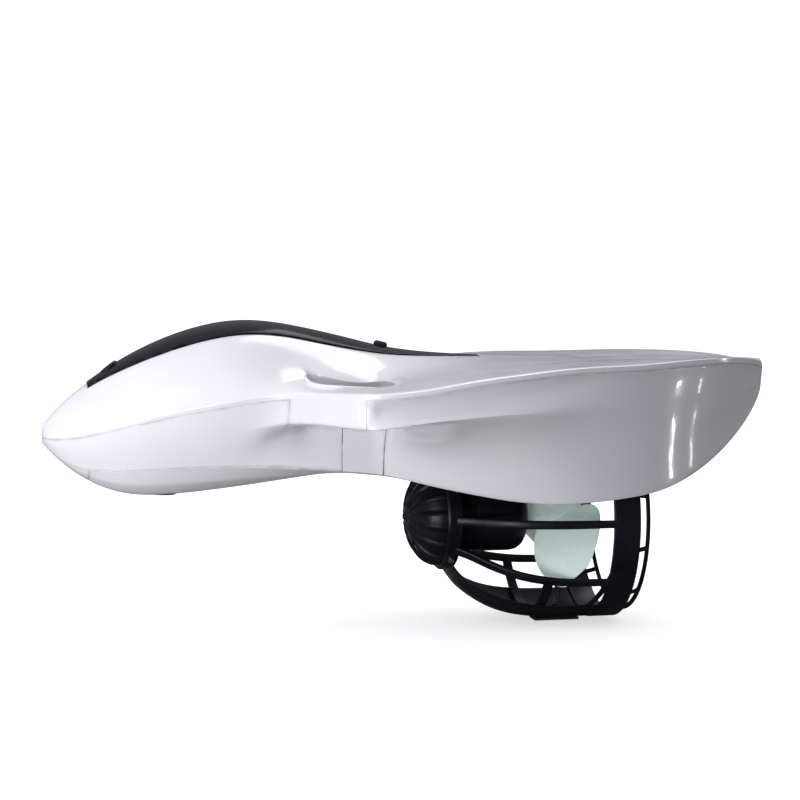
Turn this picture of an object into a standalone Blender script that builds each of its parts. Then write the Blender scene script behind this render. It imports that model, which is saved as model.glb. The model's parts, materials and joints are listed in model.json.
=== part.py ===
"""Underwater scooter: a hand-held electric sea scooter, 750 mm long.

The frame: X runs from the nose (-X) to the stern (+X), Y to the side and Z up. The origin is
under the middle of the length, at the height of the rubber foot's flat face. Lengths here are
in millimetres and mesh_object turns them into metres.
"""

import math

import bmesh
import bpy
import numpy as np
from mathutils import Matrix, Vector

for existing in list(bpy.data.objects):
    bpy.data.objects.remove(existing, do_unlink=True)

MM = 0.001
LENGTH = 750.0
GAP = 0.3  # between two pieces that touch
SHELL = 2.6  # wall of the moulded shells
THIN_ENDS = 45.0  # the walls thin out over this length towards the nose and the stern

# The thruster: everything in it is turned about a line along X at this height.
AXIS_Z = 112.0
RING_RADIUS = 109.5
PROP_X = 155.0
PROP_RADIUS = 97.0
POD_RADIUS = 38.0
SHAFT_RADIUS = 5.0
SHAFT_GAP = 0.5

# The handles run diagonally outwards from the waist. This is their inner face, on the +Y side.
HANDLE_START = Vector((-118.0, 94.0))
HANDLE_END = Vector((-68.0, 173.0))
LEVER_Z = 236.0

BUTTON_X = -34.0
SOCKET_X = -309.0
LATCH_X = -256.0

# Sections of the body are taken at these places along X.
STATIONS = [-368, -352, -325, -290, -250, -205, -170, -142, -122, -103, -83, -74, -64, -45, -25]
STATIONS += [5, 35, 65, 95, 122, 150, 190, 230, 270, 310, 345, 368]
COVER_FRONT, COVER_REAR = -325, 65
HANDLE_FRONT, HOLE_FRONT, HOLE_REAR = -142, -122, -45
SEAM_FRONT, BAY_FRONT, BAY_REAR = -83, -25, 345

# Lines that run the length of the body, from the crest down to the middle of the underside.
CREST, COVER, WAIST, GRIP_IN, RIM, RIM_SIDE, RECESS, LIP = range(8)
GRIP_UNDER, WALL_TOP, EDGE, MOUTH, ROOF_CORNER, BOTTOM = range(8, 14)

# Each line as (x, y, z) where its course changes.
CREST_KEYS = [(-368, 0, 211), (-352, 0, 231), (-331, 0, 249), (-303, 0, 272), (-268, 0, 294)]
CREST_KEYS += [(-237, 0, 309), (-195, 0, 320), (-169, 0, 321), (-127, 0, 314), (-80, 0, 302)]
CREST_KEYS += [(-43, 0, 291.5), (-7, 0, 284), (25, 0, 281), (61, 0, 279), (122, 0, 276)]
CREST_KEYS += [(200, 0, 274.5), (310, 0, 274), (368, 0, 271.5)]
COVER_KEYS = [(-368, 4, 209.5), (-352, 7, 230), (-325, 9, 252.5), (-290, 31, 270), (-250, 42, 286)]
COVER_KEYS += [(-205, 48, 299), (-170, 49, 304), (-142, 47, 303), (-103, 41, 297.5)]
COVER_KEYS += [(-64, 34, 290), (-25, 27, 282.5), (5, 19, 280), (35, 11, 278.7), (65, 6, 278)]
COVER_KEYS += [(122, 12, 276), (200, 20, 274.5), (310, 14, 274), (368, 4.5, 271.2)]
WAIST_KEYS = [(-368, 7, 206.5), (-352, 17, 219), (-325, 26, 237), (-290, 49, 254), (-250, 61, 270)]
WAIST_KEYS += [(-205, 70, 284), (-170, 71, 284), (-142, 71, 278), (-122, 75, 270)]
WAIST_KEYS += [(-103, 84, 262), (-83, 93, 257.5), (-64, 97, 256.5), (-45, 92, 259), (-25, 81, 264)]
WAIST_KEYS += [(5, 72, 269.5), (35, 68, 273), (95, 60, 275), (230, 45, 275.5), (368, 8.5, 270.2)]
GRIP_IN_KEYS = [(-368, 9.5, 204), (-352, 22, 209), (-325, 38, 221), (-290, 61, 236)]
GRIP_IN_KEYS += [(-250, 77, 251), (-205, 89, 263), (-170, 93, 265), (-142, 91, 261)]
GRIP_IN_KEYS += [(-122, 92, 258), (-103, 119, 257), (-83, 149, 257), (-64, 162, 257)]
GRIP_IN_KEYS += [(-45, 154, 258.5), (5, 142, 265), (65, 134, 271.5), (150, 112, 275)]
GRIP_IN_KEYS += [(230, 90, 276.5), (310, 50, 276), (368, 12, 268.4)]
RIM_KEYS = [(-368, 11, 201), (-349, 27, 200), (-328, 43, 206), (-309, 55, 212.5), (-278, 71, 221)]
RIM_KEYS += [(-254, 81, 228), (-229, 90, 234), (-195, 100, 240), (-164, 106, 246)]
RIM_KEYS += [(-142, 114, 248.5), (-122, 150, 250), (-103, 181, 251), (-83, 201, 252)]
RIM_KEYS += [(-64, 207.5, 252.5), (-45, 208.5, 254), (-18, 208, 257.5), (22, 205, 264.5)]
RIM_KEYS += [(64, 197, 268.5), (107, 186, 272.5), (145, 174, 274), (186, 159, 274)]
RIM_KEYS += [(235, 135, 276.5), (285, 104, 277.5), (320, 76, 276.5), (350, 43, 273), (368, 14, 265.5)]
RECESS_KEYS = [(-142, 111, 236), (-122, 148, 236), (-103, 179, 236), (-83, 199, 236)]
RECESS_KEYS += [(-74, 191, 238), (-64, 189, 239.5), (-45, 187.5, 242), (-25, 186, 244)]
RECESS_KEYS += [(5, 183, 247), (35, 179, 250), (65, 176, 252)]
RECESS_KEYS += [(95, 173, 254.5), (122, 170.5, 257), (150, 166, 258), (190, 151, 257)]
RECESS_KEYS += [(230, 132.5, 258), (270, 109, 260), (310, 80, 262), (345, 45, 262), (368, 13.2, 255)]
LIP_KEYS = [(-142, 109, 219.5), (-122, 147, 220.5), (-103, 178, 219.5), (-83, 199, 217.5)]
LIP_KEYS += [(-74, 203.5, 218.5), (-64, 206, 220), (-45, 207, 222)]
LIP_KEYS += [(-25, 206, 225), (5, 203, 227.5), (35, 198, 229.5), (65, 191.5, 230.5), (95, 182, 231.5)]
LIP_KEYS += [(122, 171, 232.5), (150, 161, 234), (190, 146, 235.5), (230, 127, 238), (270, 103, 242)]
LIP_KEYS += [(310, 75, 248), (345, 42, 253), (368, 12.6, 252.5)]
UNDER_KEYS = [(-142, 91, 214.5), (-122, 93, 213.5), (-103, 120, 213.5), (-83, 150, 213.5)]
UNDER_KEYS += [(-64, 163, 213.5), (-45, 154, 213), (-25, 160, 211), (5, 165, 209), (65, 168, 206)]
UNDER_KEYS += [(122, 159, 205), (190, 139, 208), (230, 121, 212), (270, 97, 220), (310, 70, 232)]
UNDER_KEYS += [(345, 39, 242), (368, 12, 250)]
WALL_KEYS = [(-142, 80, 211), (-122, 72, 211), (-83, 69, 210), (-45, 73, 208), (-25, 93, 197)]
WALL_KEYS += [(5, 118, 187), (35, 135, 180), (65, 145, 175), (95, 149, 172), (122, 148.5, 171.5)]
WALL_KEYS += [(190, 133, 174), (230, 114, 180), (270, 90, 193), (310, 63, 214), (345, 35, 237)]
WALL_KEYS += [(368, 11, 247)]
EDGE_KEYS = [(-368, 5, 197), (-352, 13, 179), (-325, 27, 168.5), (-290, 44, 168), (-250, 56, 172)]
EDGE_KEYS += [(-205, 63, 173.5), (-170, 67.5, 173), (-122, 70, 170), (-83, 71, 166.5)]
EDGE_KEYS += [(-45, 72, 162.5), (-25, 82, 158.5), (5, 101, 151), (35, 117, 145.5), (65, 130, 140)]
EDGE_KEYS += [(95, 137, 137), (122, 139, 136.5), (150, 137, 137.5), (190, 128, 140), (230, 110, 145)]
EDGE_KEYS += [(270, 85, 159), (310, 57, 181), (345, 31, 211), (368, 9.5, 243)]
MOUTH_KEYS = [(-45, 48, 160), (-25, 62, 157.5), (5, 90, 152), (35, 107, 147), (65, 120, 141.5)]
MOUTH_KEYS += [(95, 127.5, 138.5), (122, 129.5, 138), (150, 127.5, 139), (190, 118.5, 141.5)]
MOUTH_KEYS += [(230, 100.5, 146.5), (270, 76, 160), (310, 48.5, 182), (345, 23, 212), (368, 6.5, 243.5)]
ROOF_CORNER_KEYS = [(-45, 24, 159), (-25, 42, 163), (5, 70, 174), (35, 92, 183), (65, 106, 190)]
ROOF_CORNER_KEYS += [(95, 116, 202), (122, 122, 225), (150, 121, 233), (190, 112, 234)]
ROOF_CORNER_KEYS += [(230, 93, 235), (270, 69, 237), (310, 41, 242), (345, 17, 243), (368, 3.3, 245)]
BOTTOM_KEYS = [(-368, 0, 195.5), (-352, 0, 177), (-325, 0, 155), (-303, 0, 143.5), (-283, 0, 138.5)]
BOTTOM_KEYS += [(-264, 0, 137.5), (-223, 0, 141), (-172, 0, 147), (-122, 0, 155), (-83, 0, 161)]
BOTTOM_KEYS += [(-45, 0, 158.5), (-25, 0, 164), (5, 0, 176), (35, 0, 185), (65, 0, 193)]
BOTTOM_KEYS += [(95, 0, 202), (122, 0, 228), (150, 0, 236), (190, 0, 237), (270, 0, 240)]
BOTTOM_KEYS += [(345, 0, 245), (368, 0, 246)]

# Ahead of the handles the lines between the chine and the belly lie this far down the flank.
FLANK_SHARE = {RIM_SIDE: 0.08, RECESS: 0.27, LIP: 0.45, GRIP_UNDER: 0.63, WALL_TOP: 0.82}
# Ahead of the thruster bay the underside bulges down between the belly line and its middle.
BELLY_SHARE = {MOUTH: (0.72, 0.52), ROOF_CORNER: (0.38, 0.86)}
FLANK_BULGE = 2.5
RIM_DROP = (0.4, 6.0)  # from the rim down to the top of the recess, in Y and Z
# How sharp each line is, from 0 for a soft one to 1 for a knife edge.
HOLE_CREASE = 0.62
CREASES = {RIM: 0.55, RIM_SIDE: 0.3, LIP: 0.5, GRIP_UNDER: 0.25, EDGE: 0.6, MOUTH: 0.45}

WHITE = ("shell_white", (0.86, 0.87, 0.88), 0.12, 0.0)
BLACK_GLOSS = ("cover_black", (0.012, 0.011, 0.02), 0.05, 0.0)
BLACK = ("thruster_black", (0.016, 0.017, 0.021), 0.35, 0.0)
DARK_GREY = ("dark_grey", (0.05, 0.052, 0.058), 0.5, 0.0)
RUBBER = ("rubber", (0.02, 0.02, 0.022), 0.85, 0.0)
MINT = ("propeller_mint", (0.56, 0.70, 0.64), 0.25, 0.0)
STEEL = ("steel", (0.55, 0.56, 0.58), 0.25, 1.0)
COPPER = ("copper", (0.72, 0.38, 0.2), 0.35, 1.0)
ALUMINIUM = ("aluminium", (0.62, 0.63, 0.65), 0.4, 1.0)
BOARD_GREEN = ("board_green", (0.03, 0.2, 0.08), 0.5, 0.0)
BATTERY_BLUE = ("battery_blue", (0.05, 0.12, 0.3), 0.5, 0.0)
FOAM = ("foam", (0.75, 0.74, 0.68), 0.9, 0.0)
CABLE_ORANGE = ("cable_orange", (0.7, 0.24, 0.03), 0.5, 0.0)


# ---- small tools -------------------------------------------------------------------------


def material(look):
    name, colour, roughness, metallic = look
    found = bpy.data.materials.get(name)
    if found:
        return found
    made = bpy.data.materials.new(name)
    made.use_nodes = True
    shader = made.node_tree.nodes["Principled BSDF"]
    shader.inputs["Base Color"].default_value = (*colour, 1.0)
    shader.inputs["Roughness"].default_value = roughness
    shader.inputs["Metallic"].default_value = metallic
    made.diffuse_color = (*colour, 1.0)
    return made


def mesh_object(name, points, faces, look, origin=(0, 0, 0), smooth=35.0):
    """An object from points in millimetres, with its origin at the given place."""
    origin = np.array(origin, float)
    mesh = bpy.data.meshes.new(name)
    mesh.from_pydata([tuple(MM * (np.array(p, float) - origin)) for p in points], [], faces)
    bm = bmesh.new()
    bm.from_mesh(mesh)
    bmesh.ops.recalc_face_normals(bm, faces=bm.faces)
    if bm.calc_volume(signed=True) < 0:
        bmesh.ops.reverse_faces(bm, faces=bm.faces)
    bm.to_mesh(mesh)
    bm.free()
    mesh.materials.append(material(look))
    mesh.shade_smooth()
    mesh.set_sharp_from_angle(angle=math.radians(smooth))
    obj = bpy.data.objects.new(name, mesh)
    obj.location = MM * origin
    bpy.context.scene.collection.objects.link(obj)
    return obj


def curve_at(keys, x):
    """y and z of a line at x: a smooth curve through its keys that never overshoots them."""
    table = np.array(keys, float)
    places, values = table[:, 0], table[:, 1:]
    steps = np.diff(places)
    slopes = np.diff(values, axis=0) / steps[:, None]
    tangents = np.zeros_like(values)
    tangents[0], tangents[-1] = slopes[0], slopes[-1]
    for k in range(1, len(places) - 1):
        before, after = slopes[k - 1], slopes[k]
        total = before + after
        total[total == 0] = 1.0
        tangents[k] = np.where(before * after > 0, 2 * before * after / total, 0.0)
    k = int(np.clip(np.searchsorted(places, x) - 1, 0, len(steps) - 1))
    t = (x - places[k]) / steps[k]
    start = (1 + 2 * t) * (1 - t) ** 2 * values[k] + t * (1 - t) ** 2 * steps[k] * tangents[k]
    end = t * t * (3 - 2 * t) * values[k + 1] + t * t * (t - 1) * steps[k] * tangents[k + 1]
    return start + end


def boolean(obj, other, operation):
    """Cuts other from obj, or joins it. The other object stays as a hidden helper."""
    modifier = obj.modifiers.new(operation.lower() + "_" + other.name, "BOOLEAN")
    modifier.operation = operation
    modifier.solver = "EXACT"
    modifier.object = other
    other.hide_render = True
    other.display_type = "WIRE"
    return obj


def cut(obj, *cutters):
    for cutter in cutters:
        boolean(obj, cutter, "DIFFERENCE")
    return obj


def join(obj, *others):
    for other in others:
        boolean(obj, other, "UNION")
    return obj


def turned(name, profile, look, segments=32, centre=(0, 0, 0), axis=(1, 0, 0), **more):
    """A body turned about an axis. The closed profile lists (along, radius)."""
    along = Vector(axis).normalized()
    side = along.orthogonal().normalized()
    if abs(along.x) > 0.99:
        side = Vector((0, 0, 1))
    up = along.cross(side)
    centre = Vector(centre)
    points, rows = [], []
    for distance, radius in profile:
        if radius == 0:
            rows.append([len(points)] * segments)
            points.append(centre + along * distance)
            continue
        rows.append(list(range(len(points), len(points) + segments)))
        for k in range(segments):
            angle = 2 * math.pi * (k + 0.5) / segments
            points.append(
                centre + along * distance + radius * (math.cos(angle) * side + math.sin(angle) * up)
            )
    faces = []
    for row, after in zip(rows, rows[1:] + rows[:1]):
        for k in range(segments):
            nxt = (k + 1) % segments
            corners = [row[k], row[nxt], after[nxt], after[k]]
            face = [c for i, c in enumerate(corners) if c not in corners[:i]]
            if len(face) > 2:
                faces.append(face)
    return mesh_object(name, points, faces, look, origin=centre, **more)


def rod(name, radius, start, end, look, segments=16):
    """A plain round rod between two points."""
    start, end = Vector(start), Vector(end)
    length = (end - start).length
    profile = [(0, 0), (0, radius), (length, radius), (length, 0)]
    return turned(name, profile, look, segments, start, end - start)


def bush(name, inner, outer, x_from, x_to, look, segments=28):
    """A plain ring about the thrust axis."""
    profile = [(x_from, inner), (x_from, outer), (x_to, outer), (x_to, inner)]
    return turned(name, profile, look, segments, (0, 0, AXIS_Z))


def block(name, low, high, look, bevel=0.0):
    """A box between two corners, with rounded edges if bevel is given."""
    low, high = Vector(low), Vector(high)
    middle = (low + high) / 2
    points = []
    for z in (low.z, high.z):
        for sx, sy in ((-1, -1), (1, -1), (1, 1), (-1, 1)):
            points.append((
                middle.x + sx * (high.x - low.x) / 2,
                middle.y + sy * (high.y - low.y) / 2,
                z,
            ))
    faces = [(3, 2, 1, 0), (4, 5, 6, 7)]
    faces += [(k, (k + 1) % 4, 4 + (k + 1) % 4, 4 + k) for k in range(4)]
    obj = mesh_object(name, points, faces, look, origin=middle)
    if bevel:
        rounding = obj.modifiers.new("rounding", "BEVEL")
        rounding.width = bevel * MM
        rounding.segments = 2
    return obj


def swept(name, path, half_width, half_height, look, wide=None):
    """A bar of rectangular section along a path of points. wide is its width direction."""
    path = [Vector(p) for p in path]
    points, faces = [], []
    for k, place in enumerate(path):
        ahead = path[min(k + 1, len(path) - 1)] - path[max(k - 1, 0)]
        across = Vector(wide[k] if isinstance(wide, list) else wide).normalized()
        up = ahead.cross(across).normalized()
        for a, b in ((-1, -1), (1, -1), (1, 1), (-1, 1)):
            points.append(place + a * half_width * across + b * half_height * up)
    for k in range(len(path) - 1):
        for c in range(4):
            d = (c + 1) % 4
            faces.append((4 * k + c, 4 * k + d, 4 * k + 4 + d, 4 * k + 4 + c))
    last = 4 * len(path) - 4
    faces += [(3, 2, 1, 0), (last, last + 1, last + 2, last + 3)]
    return mesh_object(name, points, faces, look)


def cable(name, path, radius, look):
    """A round cable along a smooth path."""
    data = bpy.data.curves.new(name, "CURVE")
    data.dimensions = "3D"
    data.bevel_depth = radius * MM
    data.bevel_resolution = 1
    data.resolution_u = 4
    data.use_fill_caps = True
    spline = data.splines.new("BEZIER")
    spline.bezier_points.add(len(path) - 1)
    for point, place in zip(spline.bezier_points, path):
        point.co = [MM * c for c in place]
        point.handle_left_type = point.handle_right_type = "AUTO"
    data.materials.append(material(look))
    obj = bpy.data.objects.new(name, data)
    bpy.context.scene.collection.objects.link(obj)
    return obj


def mirrored(obj, name):
    """The same piece on the other side of the centre plane."""
    mesh = obj.data.copy()
    mesh.transform(Matrix.Diagonal((1, -1, 1, 1)))
    mesh.flip_normals()
    mesh.name = name
    twin = bpy.data.objects.new(name, mesh)
    twin.location = (obj.location.x, -obj.location.y, obj.location.z)
    bpy.context.scene.collection.objects.link(twin)
    return twin


# ---- the body surface --------------------------------------------------------------------


def section(x):
    """The 14 points of the half section at x, from the crest to the middle of the underside."""
    lines = {
        CREST: CREST_KEYS, COVER: COVER_KEYS, WAIST: WAIST_KEYS, GRIP_IN: GRIP_IN_KEYS,
        RIM: RIM_KEYS, RECESS: RECESS_KEYS, LIP: LIP_KEYS, GRIP_UNDER: UNDER_KEYS,
        WALL_TOP: WALL_KEYS, EDGE: EDGE_KEYS, MOUTH: MOUTH_KEYS,
        ROOF_CORNER: ROOF_CORNER_KEYS, BOTTOM: BOTTOM_KEYS,
    }
    found = {line: curve_at(keys, x) for line, keys in lines.items()}
    found[RIM_SIDE] = found[RIM] - RIM_DROP
    if x < HANDLE_FRONT:
        drop = found[EDGE] - found[RIM]
        for line, share in FLANK_SHARE.items():
            found[line] = found[RIM] + share * drop
            found[line][0] += FLANK_BULGE * math.sin(math.pi * share)
    if x < HOLE_REAR:
        for line, (across, down) in BELLY_SHARE.items():
            depth = found[BOTTOM][1] - found[EDGE][1]
            found[line] = np.array((across * found[EDGE][0], found[EDGE][1] + down * depth))
    return [found[line] for line in range(BOTTOM + 1)]


def shell_name(x, line, side):
    """Which moulded piece covers the patch behind station x and below a line."""
    if line == CREST and COVER_FRONT <= x < COVER_REAR:
        return "top_cover"
    if line < RIM_SIDE:
        return "upper_shell"
    if line < LIP and HANDLE_FRONT <= x < SEAM_FRONT:
        return "upper_shell"
    if line == LIP and HANDLE_FRONT <= x < HOLE_REAR:
        return "grip_lower_left" if side < 0 else "grip_lower_right"
    if line < LIP:
        return "nose_lower_shell" if x < HANDLE_FRONT else "rear_hull"
    if line < WALL_TOP:
        return "nose_lower_shell" if x < HOLE_REAR else "rear_hull"
    if SEAM_FRONT <= x < HOLE_REAR:
        return "waist_band"
    if line == WALL_TOP:
        return "nose_lower_shell" if x < SEAM_FRONT else "rear_hull"
    if x < COVER_FRONT:
        return "nose_lower_shell"
    if x < SEAM_FRONT:
        return "belly_pan"
    if line == EDGE or x < BAY_FRONT or x >= BAY_REAR:
        return "rear_hull"
    return "thruster_bay_liner"


def body_cage():
    """The coarse cage of the whole body: points, faces, the piece of each face, and creases."""
    points, index = [], {}
    for i, x in enumerate(STATIONS):
        for line, (y, z) in enumerate(section(x)):
            for side in (-1, 1):
                if line in (CREST, BOTTOM) and side == 1:
                    index[i, line, 1] = index[i, line, -1]
                    continue
                index[i, line, side] = len(points)
                points.append((x, side * y, z))
    faces, names = [], []

    def patch(corners, name):
        corners = [c for k, c in enumerate(corners) if c not in corners[:k]]
        faces.append(corners)
        names.append(name)

    last = len(STATIONS) - 1
    for i in range(last):
        x = STATIONS[i]
        hole = HOLE_FRONT <= x < HOLE_REAR
        for side in (-1, 1):
            for line in range(BOTTOM):
                if hole and line in (WAIST, GRIP_UNDER):
                    continue
                corners = [index[i, line, side], index[i + 1, line, side]]
                corners += [index[i + 1, line + 1, side], index[i, line + 1, side]]
                patch(corners, shell_name(x, line, side))
            if hole:
                for top, under in ((WAIST, WALL_TOP), (GRIP_IN, GRIP_UNDER)):
                    corners = [index[i, top, side], index[i + 1, top, side]]
                    corners += [index[i + 1, under, side], index[i, under, side]]
                    patch(corners, "upper_shell")
    for x in (HOLE_FRONT, HOLE_REAR):
        i = STATIONS.index(x)
        for side in (-1, 1):
            corners = [index[i, line, side] for line in (WAIST, GRIP_IN, GRIP_UNDER, WALL_TOP)]
            patch(corners, "upper_shell")
    for i in (0, last):
        for line in range(BOTTOM):
            corners = [index[i, line, -1], index[i, line + 1, -1]]
            corners += [index[i, line + 1, 1], index[i, line, 1]]
            patch(corners, shell_name(STATIONS[i], line, 1))
    creases = {}
    for line, sharpness in CREASES.items():
        for i in range(last):
            for side in (-1, 1):
                pair = index[i, line, side], index[i + 1, line, side]
                creases[tuple(sorted(pair))] = sharpness
    first, end = STATIONS.index(HOLE_FRONT), STATIONS.index(HOLE_REAR)
    for side in (-1, 1):
        for line in (WAIST, GRIP_IN):
            for i in range(first, end):
                pair = index[i, line, side], index[i + 1, line, side]
                creases[tuple(sorted(pair))] = HOLE_CREASE
        for i in (first, end):
            pair = index[i, WAIST, side], index[i, GRIP_IN, side]
            creases[tuple(sorted(pair))] = HOLE_CREASE
    return points, faces, names, creases


def body_surface():
    """The cage with its points moved onto the smooth surface that it controls."""
    points, faces, names, creases = body_cage()
    faces = outward_normals(points, faces)[1]
    mesh = bpy.data.meshes.new("cage")
    mesh.from_pydata(points, [], faces)
    sharpness = mesh.attributes.new("crease_edge", "FLOAT", "EDGE")
    for edge in mesh.edges:
        sharpness.data[edge.index].value = creases.get(tuple(sorted(edge.vertices)), 0.0)
    cage = bpy.data.objects.new("cage", mesh)
    bpy.context.scene.collection.objects.link(cage)
    smoothing = cage.modifiers.new("smoothing", "SUBSURF")
    smoothing.levels = smoothing.render_levels = 2
    bpy.context.view_layer.update()
    fine = cage.evaluated_get(bpy.context.evaluated_depsgraph_get()).to_mesh()
    smooth = np.array([fine.vertices[k].co for k in range(len(points))])
    bpy.data.objects.remove(cage, do_unlink=True)
    smooth[:, 0] -= (smooth[:, 0].max() + smooth[:, 0].min()) / 2
    smooth[:, 0] *= LENGTH / np.ptp(smooth[:, 0])
    return smooth, faces, names


def outward_normals(points, faces):
    """A mean normal at each point, and each face turned to face out."""
    bm = bmesh.new()
    verts = [bm.verts.new(p) for p in points]
    for face in faces:
        bm.faces.new([verts[k] for k in face])
    bmesh.ops.recalc_face_normals(bm, faces=bm.faces)
    if bm.calc_volume(signed=True) < 0:
        bmesh.ops.reverse_faces(bm, faces=bm.faces)
    bm.normal_update()
    bm.verts.index_update()
    turned_faces = [[v.index for v in face.verts] for face in bm.faces]
    normals = np.array([v.normal for v in bm.verts])
    bm.free()
    return normals, turned_faces


def triangles(surface, face):
    """A face as triangles. A quad is split along its shorter diagonal."""
    if len(face) != 4:
        return [[face[0], face[k], face[k + 1]] for k in range(1, len(face) - 1)]
    a, b, c, d = face
    if np.linalg.norm(surface[a] - surface[c]) <= np.linalg.norm(surface[b] - surface[d]):
        return [[a, b, c], [a, c, d]]
    return [[a, b, d], [b, c, d]]


def shell(name, surface, normals, faces, look, gap=2.4 * GAP):
    """A moulded piece: a patch of the body surface, a gap in from its edge, with a wall."""
    faces = [part for face in faces for part in triangles(surface, face)]
    used = sorted({k for face in faces for k in face})
    place = {k: n for n, k in enumerate(used)}
    edges = {}
    for face in faces:
        for a, b in zip(face, face[1:] + face[:1]):
            edges[a, b] = face
    border = [(a, b) for a, b in edges if (b, a) not in edges]
    inward = {}
    for a, b in border:
        along = surface[b] - surface[a]
        along /= np.linalg.norm(along)
        centre = surface[edges[a, b]].mean(axis=0)
        for k in (a, b):
            across = centre - surface[a]
            across = across - along * (across @ along)
            inward[k] = inward.get(k, 0) + across / np.linalg.norm(across)
    outer = surface[used].copy()
    for k, direction in inward.items():
        outer[place[k]] += gap * direction / max(np.linalg.norm(direction), 1e-6)
    wall = SHELL * np.clip((LENGTH / 2 - np.abs(surface[used, 0])) / THIN_ENDS, 0.4, 1.0)
    inner = outer - wall[:, None] * normals[used]
    inner[:, 0] = np.clip(inner[:, 0], 0.5 - LENGTH / 2, LENGTH / 2 - 0.5)
    count = len(used)
    made = [[place[k] for k in face] for face in faces]
    made += [[place[k] + count for k in reversed(face)] for face in faces]
    made += [[place[b], place[a], place[a] + count, place[b] + count] for a, b in border]
    return mesh_object(name, np.vstack([outer, inner]), made, look)


def body_shells():
    """Every moulded piece of the body, by name."""
    surface, faces, names = body_surface()
    normals, faces = outward_normals(surface, faces)
    looks = {"top_cover": BLACK_GLOSS, "thruster_bay_liner": DARK_GREY}
    made = {}
    for name in dict.fromkeys(names):
        own = [face for face, owner in zip(faces, names) if owner == name]
        made[name] = shell(name, surface, normals, own, looks.get(name, WHITE))
    return made


def crest_frame(x, line=CREST_KEYS):
    """The point of the crest at x and the direction square to it."""
    z = curve_at(line, x)[1]
    slope = curve_at(line, x + 2)[1] - curve_at(line, x - 2)[1]
    return Vector((x, 0, z)), Vector((-slope, 0, 4)).normalized()


# ---- top of the body: socket, button, latch ----------------------------------------------


def camera_socket(cover):
    """A shallow cup with a raised rim, set square to the front slope of the cover."""
    place, square = crest_frame(SOCKET_X)
    profile = [(-7, 0), (-7, 8.5), (-1, 8.5), (-1, 10.5), (1.2, 10.5), (1.8, 9.5), (1.2, 7)]
    profile += [(-3.5, 6.2), (-3.5, 0)]
    turned("camera_socket", profile, BLACK, 20, place + 0.8 * square, square)
    hole = rod("socket_hole", 9.2, place - 14 * square, place + 0.05 * square, BLACK, 20)
    hole_top = rod("socket_seat", 11.2, place - 0.6 * square, place + 6 * square, BLACK, 20)
    cut(cover, hole, hole_top)


def power_button(cover):
    """The button, its seal under the cover, and the hole that it travels in."""
    place, square = crest_frame(BUTTON_X)
    profile = [(-8, 0), (-8, 5), (-3, 5), (-3, 7), (2.6, 7), (3.8, 5.6), (4.2, 0)]
    turned("power_button", profile, RUBBER, 20, place, square)
    hole = rod("button_hole", 7.6, place - 12 * square, place + 8 * square, BLACK, 20)
    cut(cover, hole)
    ring = [(-9, 5.6), (-9, 8.5), (-6.2, 8.5), (-6.2, 5.6)]
    turned("button_seal", ring, RUBBER, 20, place, square)


def belly_latch(pan):
    """A quarter-turn lock, flush in the belly, with a coin slot below and a cam arm inside."""
    z = curve_at(BOTTOM_KEYS, LATCH_X)[1] + 3
    place = Vector((LATCH_X, 0, z))
    profile = [(0, 0), (0, 12), (5, 12), (5, 5), (13, 5), (13, 0)]
    lock = turned("belly_latch", profile, DARK_GREY, 20, place, (0, 0, 1))
    join(lock, block("latch_arm", place + Vector((-3, -17, 9)), place + Vector((3, 2, 12)), BLACK))
    cut(lock, block("coin_slot", place + Vector((-8, -1.2, -1)), place + Vector((8, 1.2, 2)), BLACK))
    cut(pan, rod("latch_hole", 12.5, place + Vector((0, 0, -9)), place + Vector((0, 0, 8)), BLACK, 20))


# ---- hidden pieces of the body -----------------------------------------------------------


def battery():
    """The pack on the belly pan, its plug, the socket that it meets, and the lid's seal."""
    block("battery_pack", (-288, -28, 176), (-112, 28, 226), BATTERY_BLUE, bevel=4)
    block("battery_plug", (-111.5, -12, 196), (-101.5, 12, 214), BLACK)
    block("battery_socket", (-100, -15, 193), (-88, 15, 217), BLACK)
    low, high = (-294, -33, 171), (-104, 33, 174.5)
    frame = block("battery_seal", low, high, RUBBER)
    opening = block("seal_opening", (-290, -29.5, 165), (-108, 29.5, 180), RUBBER)
    cut(frame, opening)


def electronics():
    """The board under the button, and the motor controller with its heat sink."""
    block("control_board", (-66, -17, 262), (-6, 17, 264), BOARD_GREEN)
    block("motor_controller", (-84, -26, 190), (-26, 26, 214), DARK_GREY, bevel=2)
    plate = block("controller_heatsink", (-80, -24, 214.5), (-30, 24, 218), ALUMINIUM)
    for k in range(5):
        y = -20 + 10 * k
        join(plate, block(f"fin_{k}", (-80, y - 1, 217), (-30, y + 1, 228), ALUMINIUM))
    cable("power_cable", [(-94, 0, 218.4), (-90, 4, 230), (-60, 10, 236), (-28, 10, 236)], 2.5,
          CABLE_ORANGE)


def floats():
    """Foam blocks that fill the two sides of the rear wing."""
    points = [(20, 122, 214), (20, 166, 214), (150, 148, 240), (150, 128, 240)]
    points += [(20, 122, 250), (20, 166, 250), (150, 148, 260), (150, 128, 260)]
    faces = [(3, 2, 1, 0), (4, 5, 6, 7)]
    faces += [(k, (k + 1) % 4, 4 + (k + 1) % 4, 4 + k) for k in range(4)]
    right = mesh_object("float_right", points, faces, FOAM, origin=(85, 140, 237))
    mirrored(right, "float_left")


# ---- throttle levers ---------------------------------------------------------------------


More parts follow.
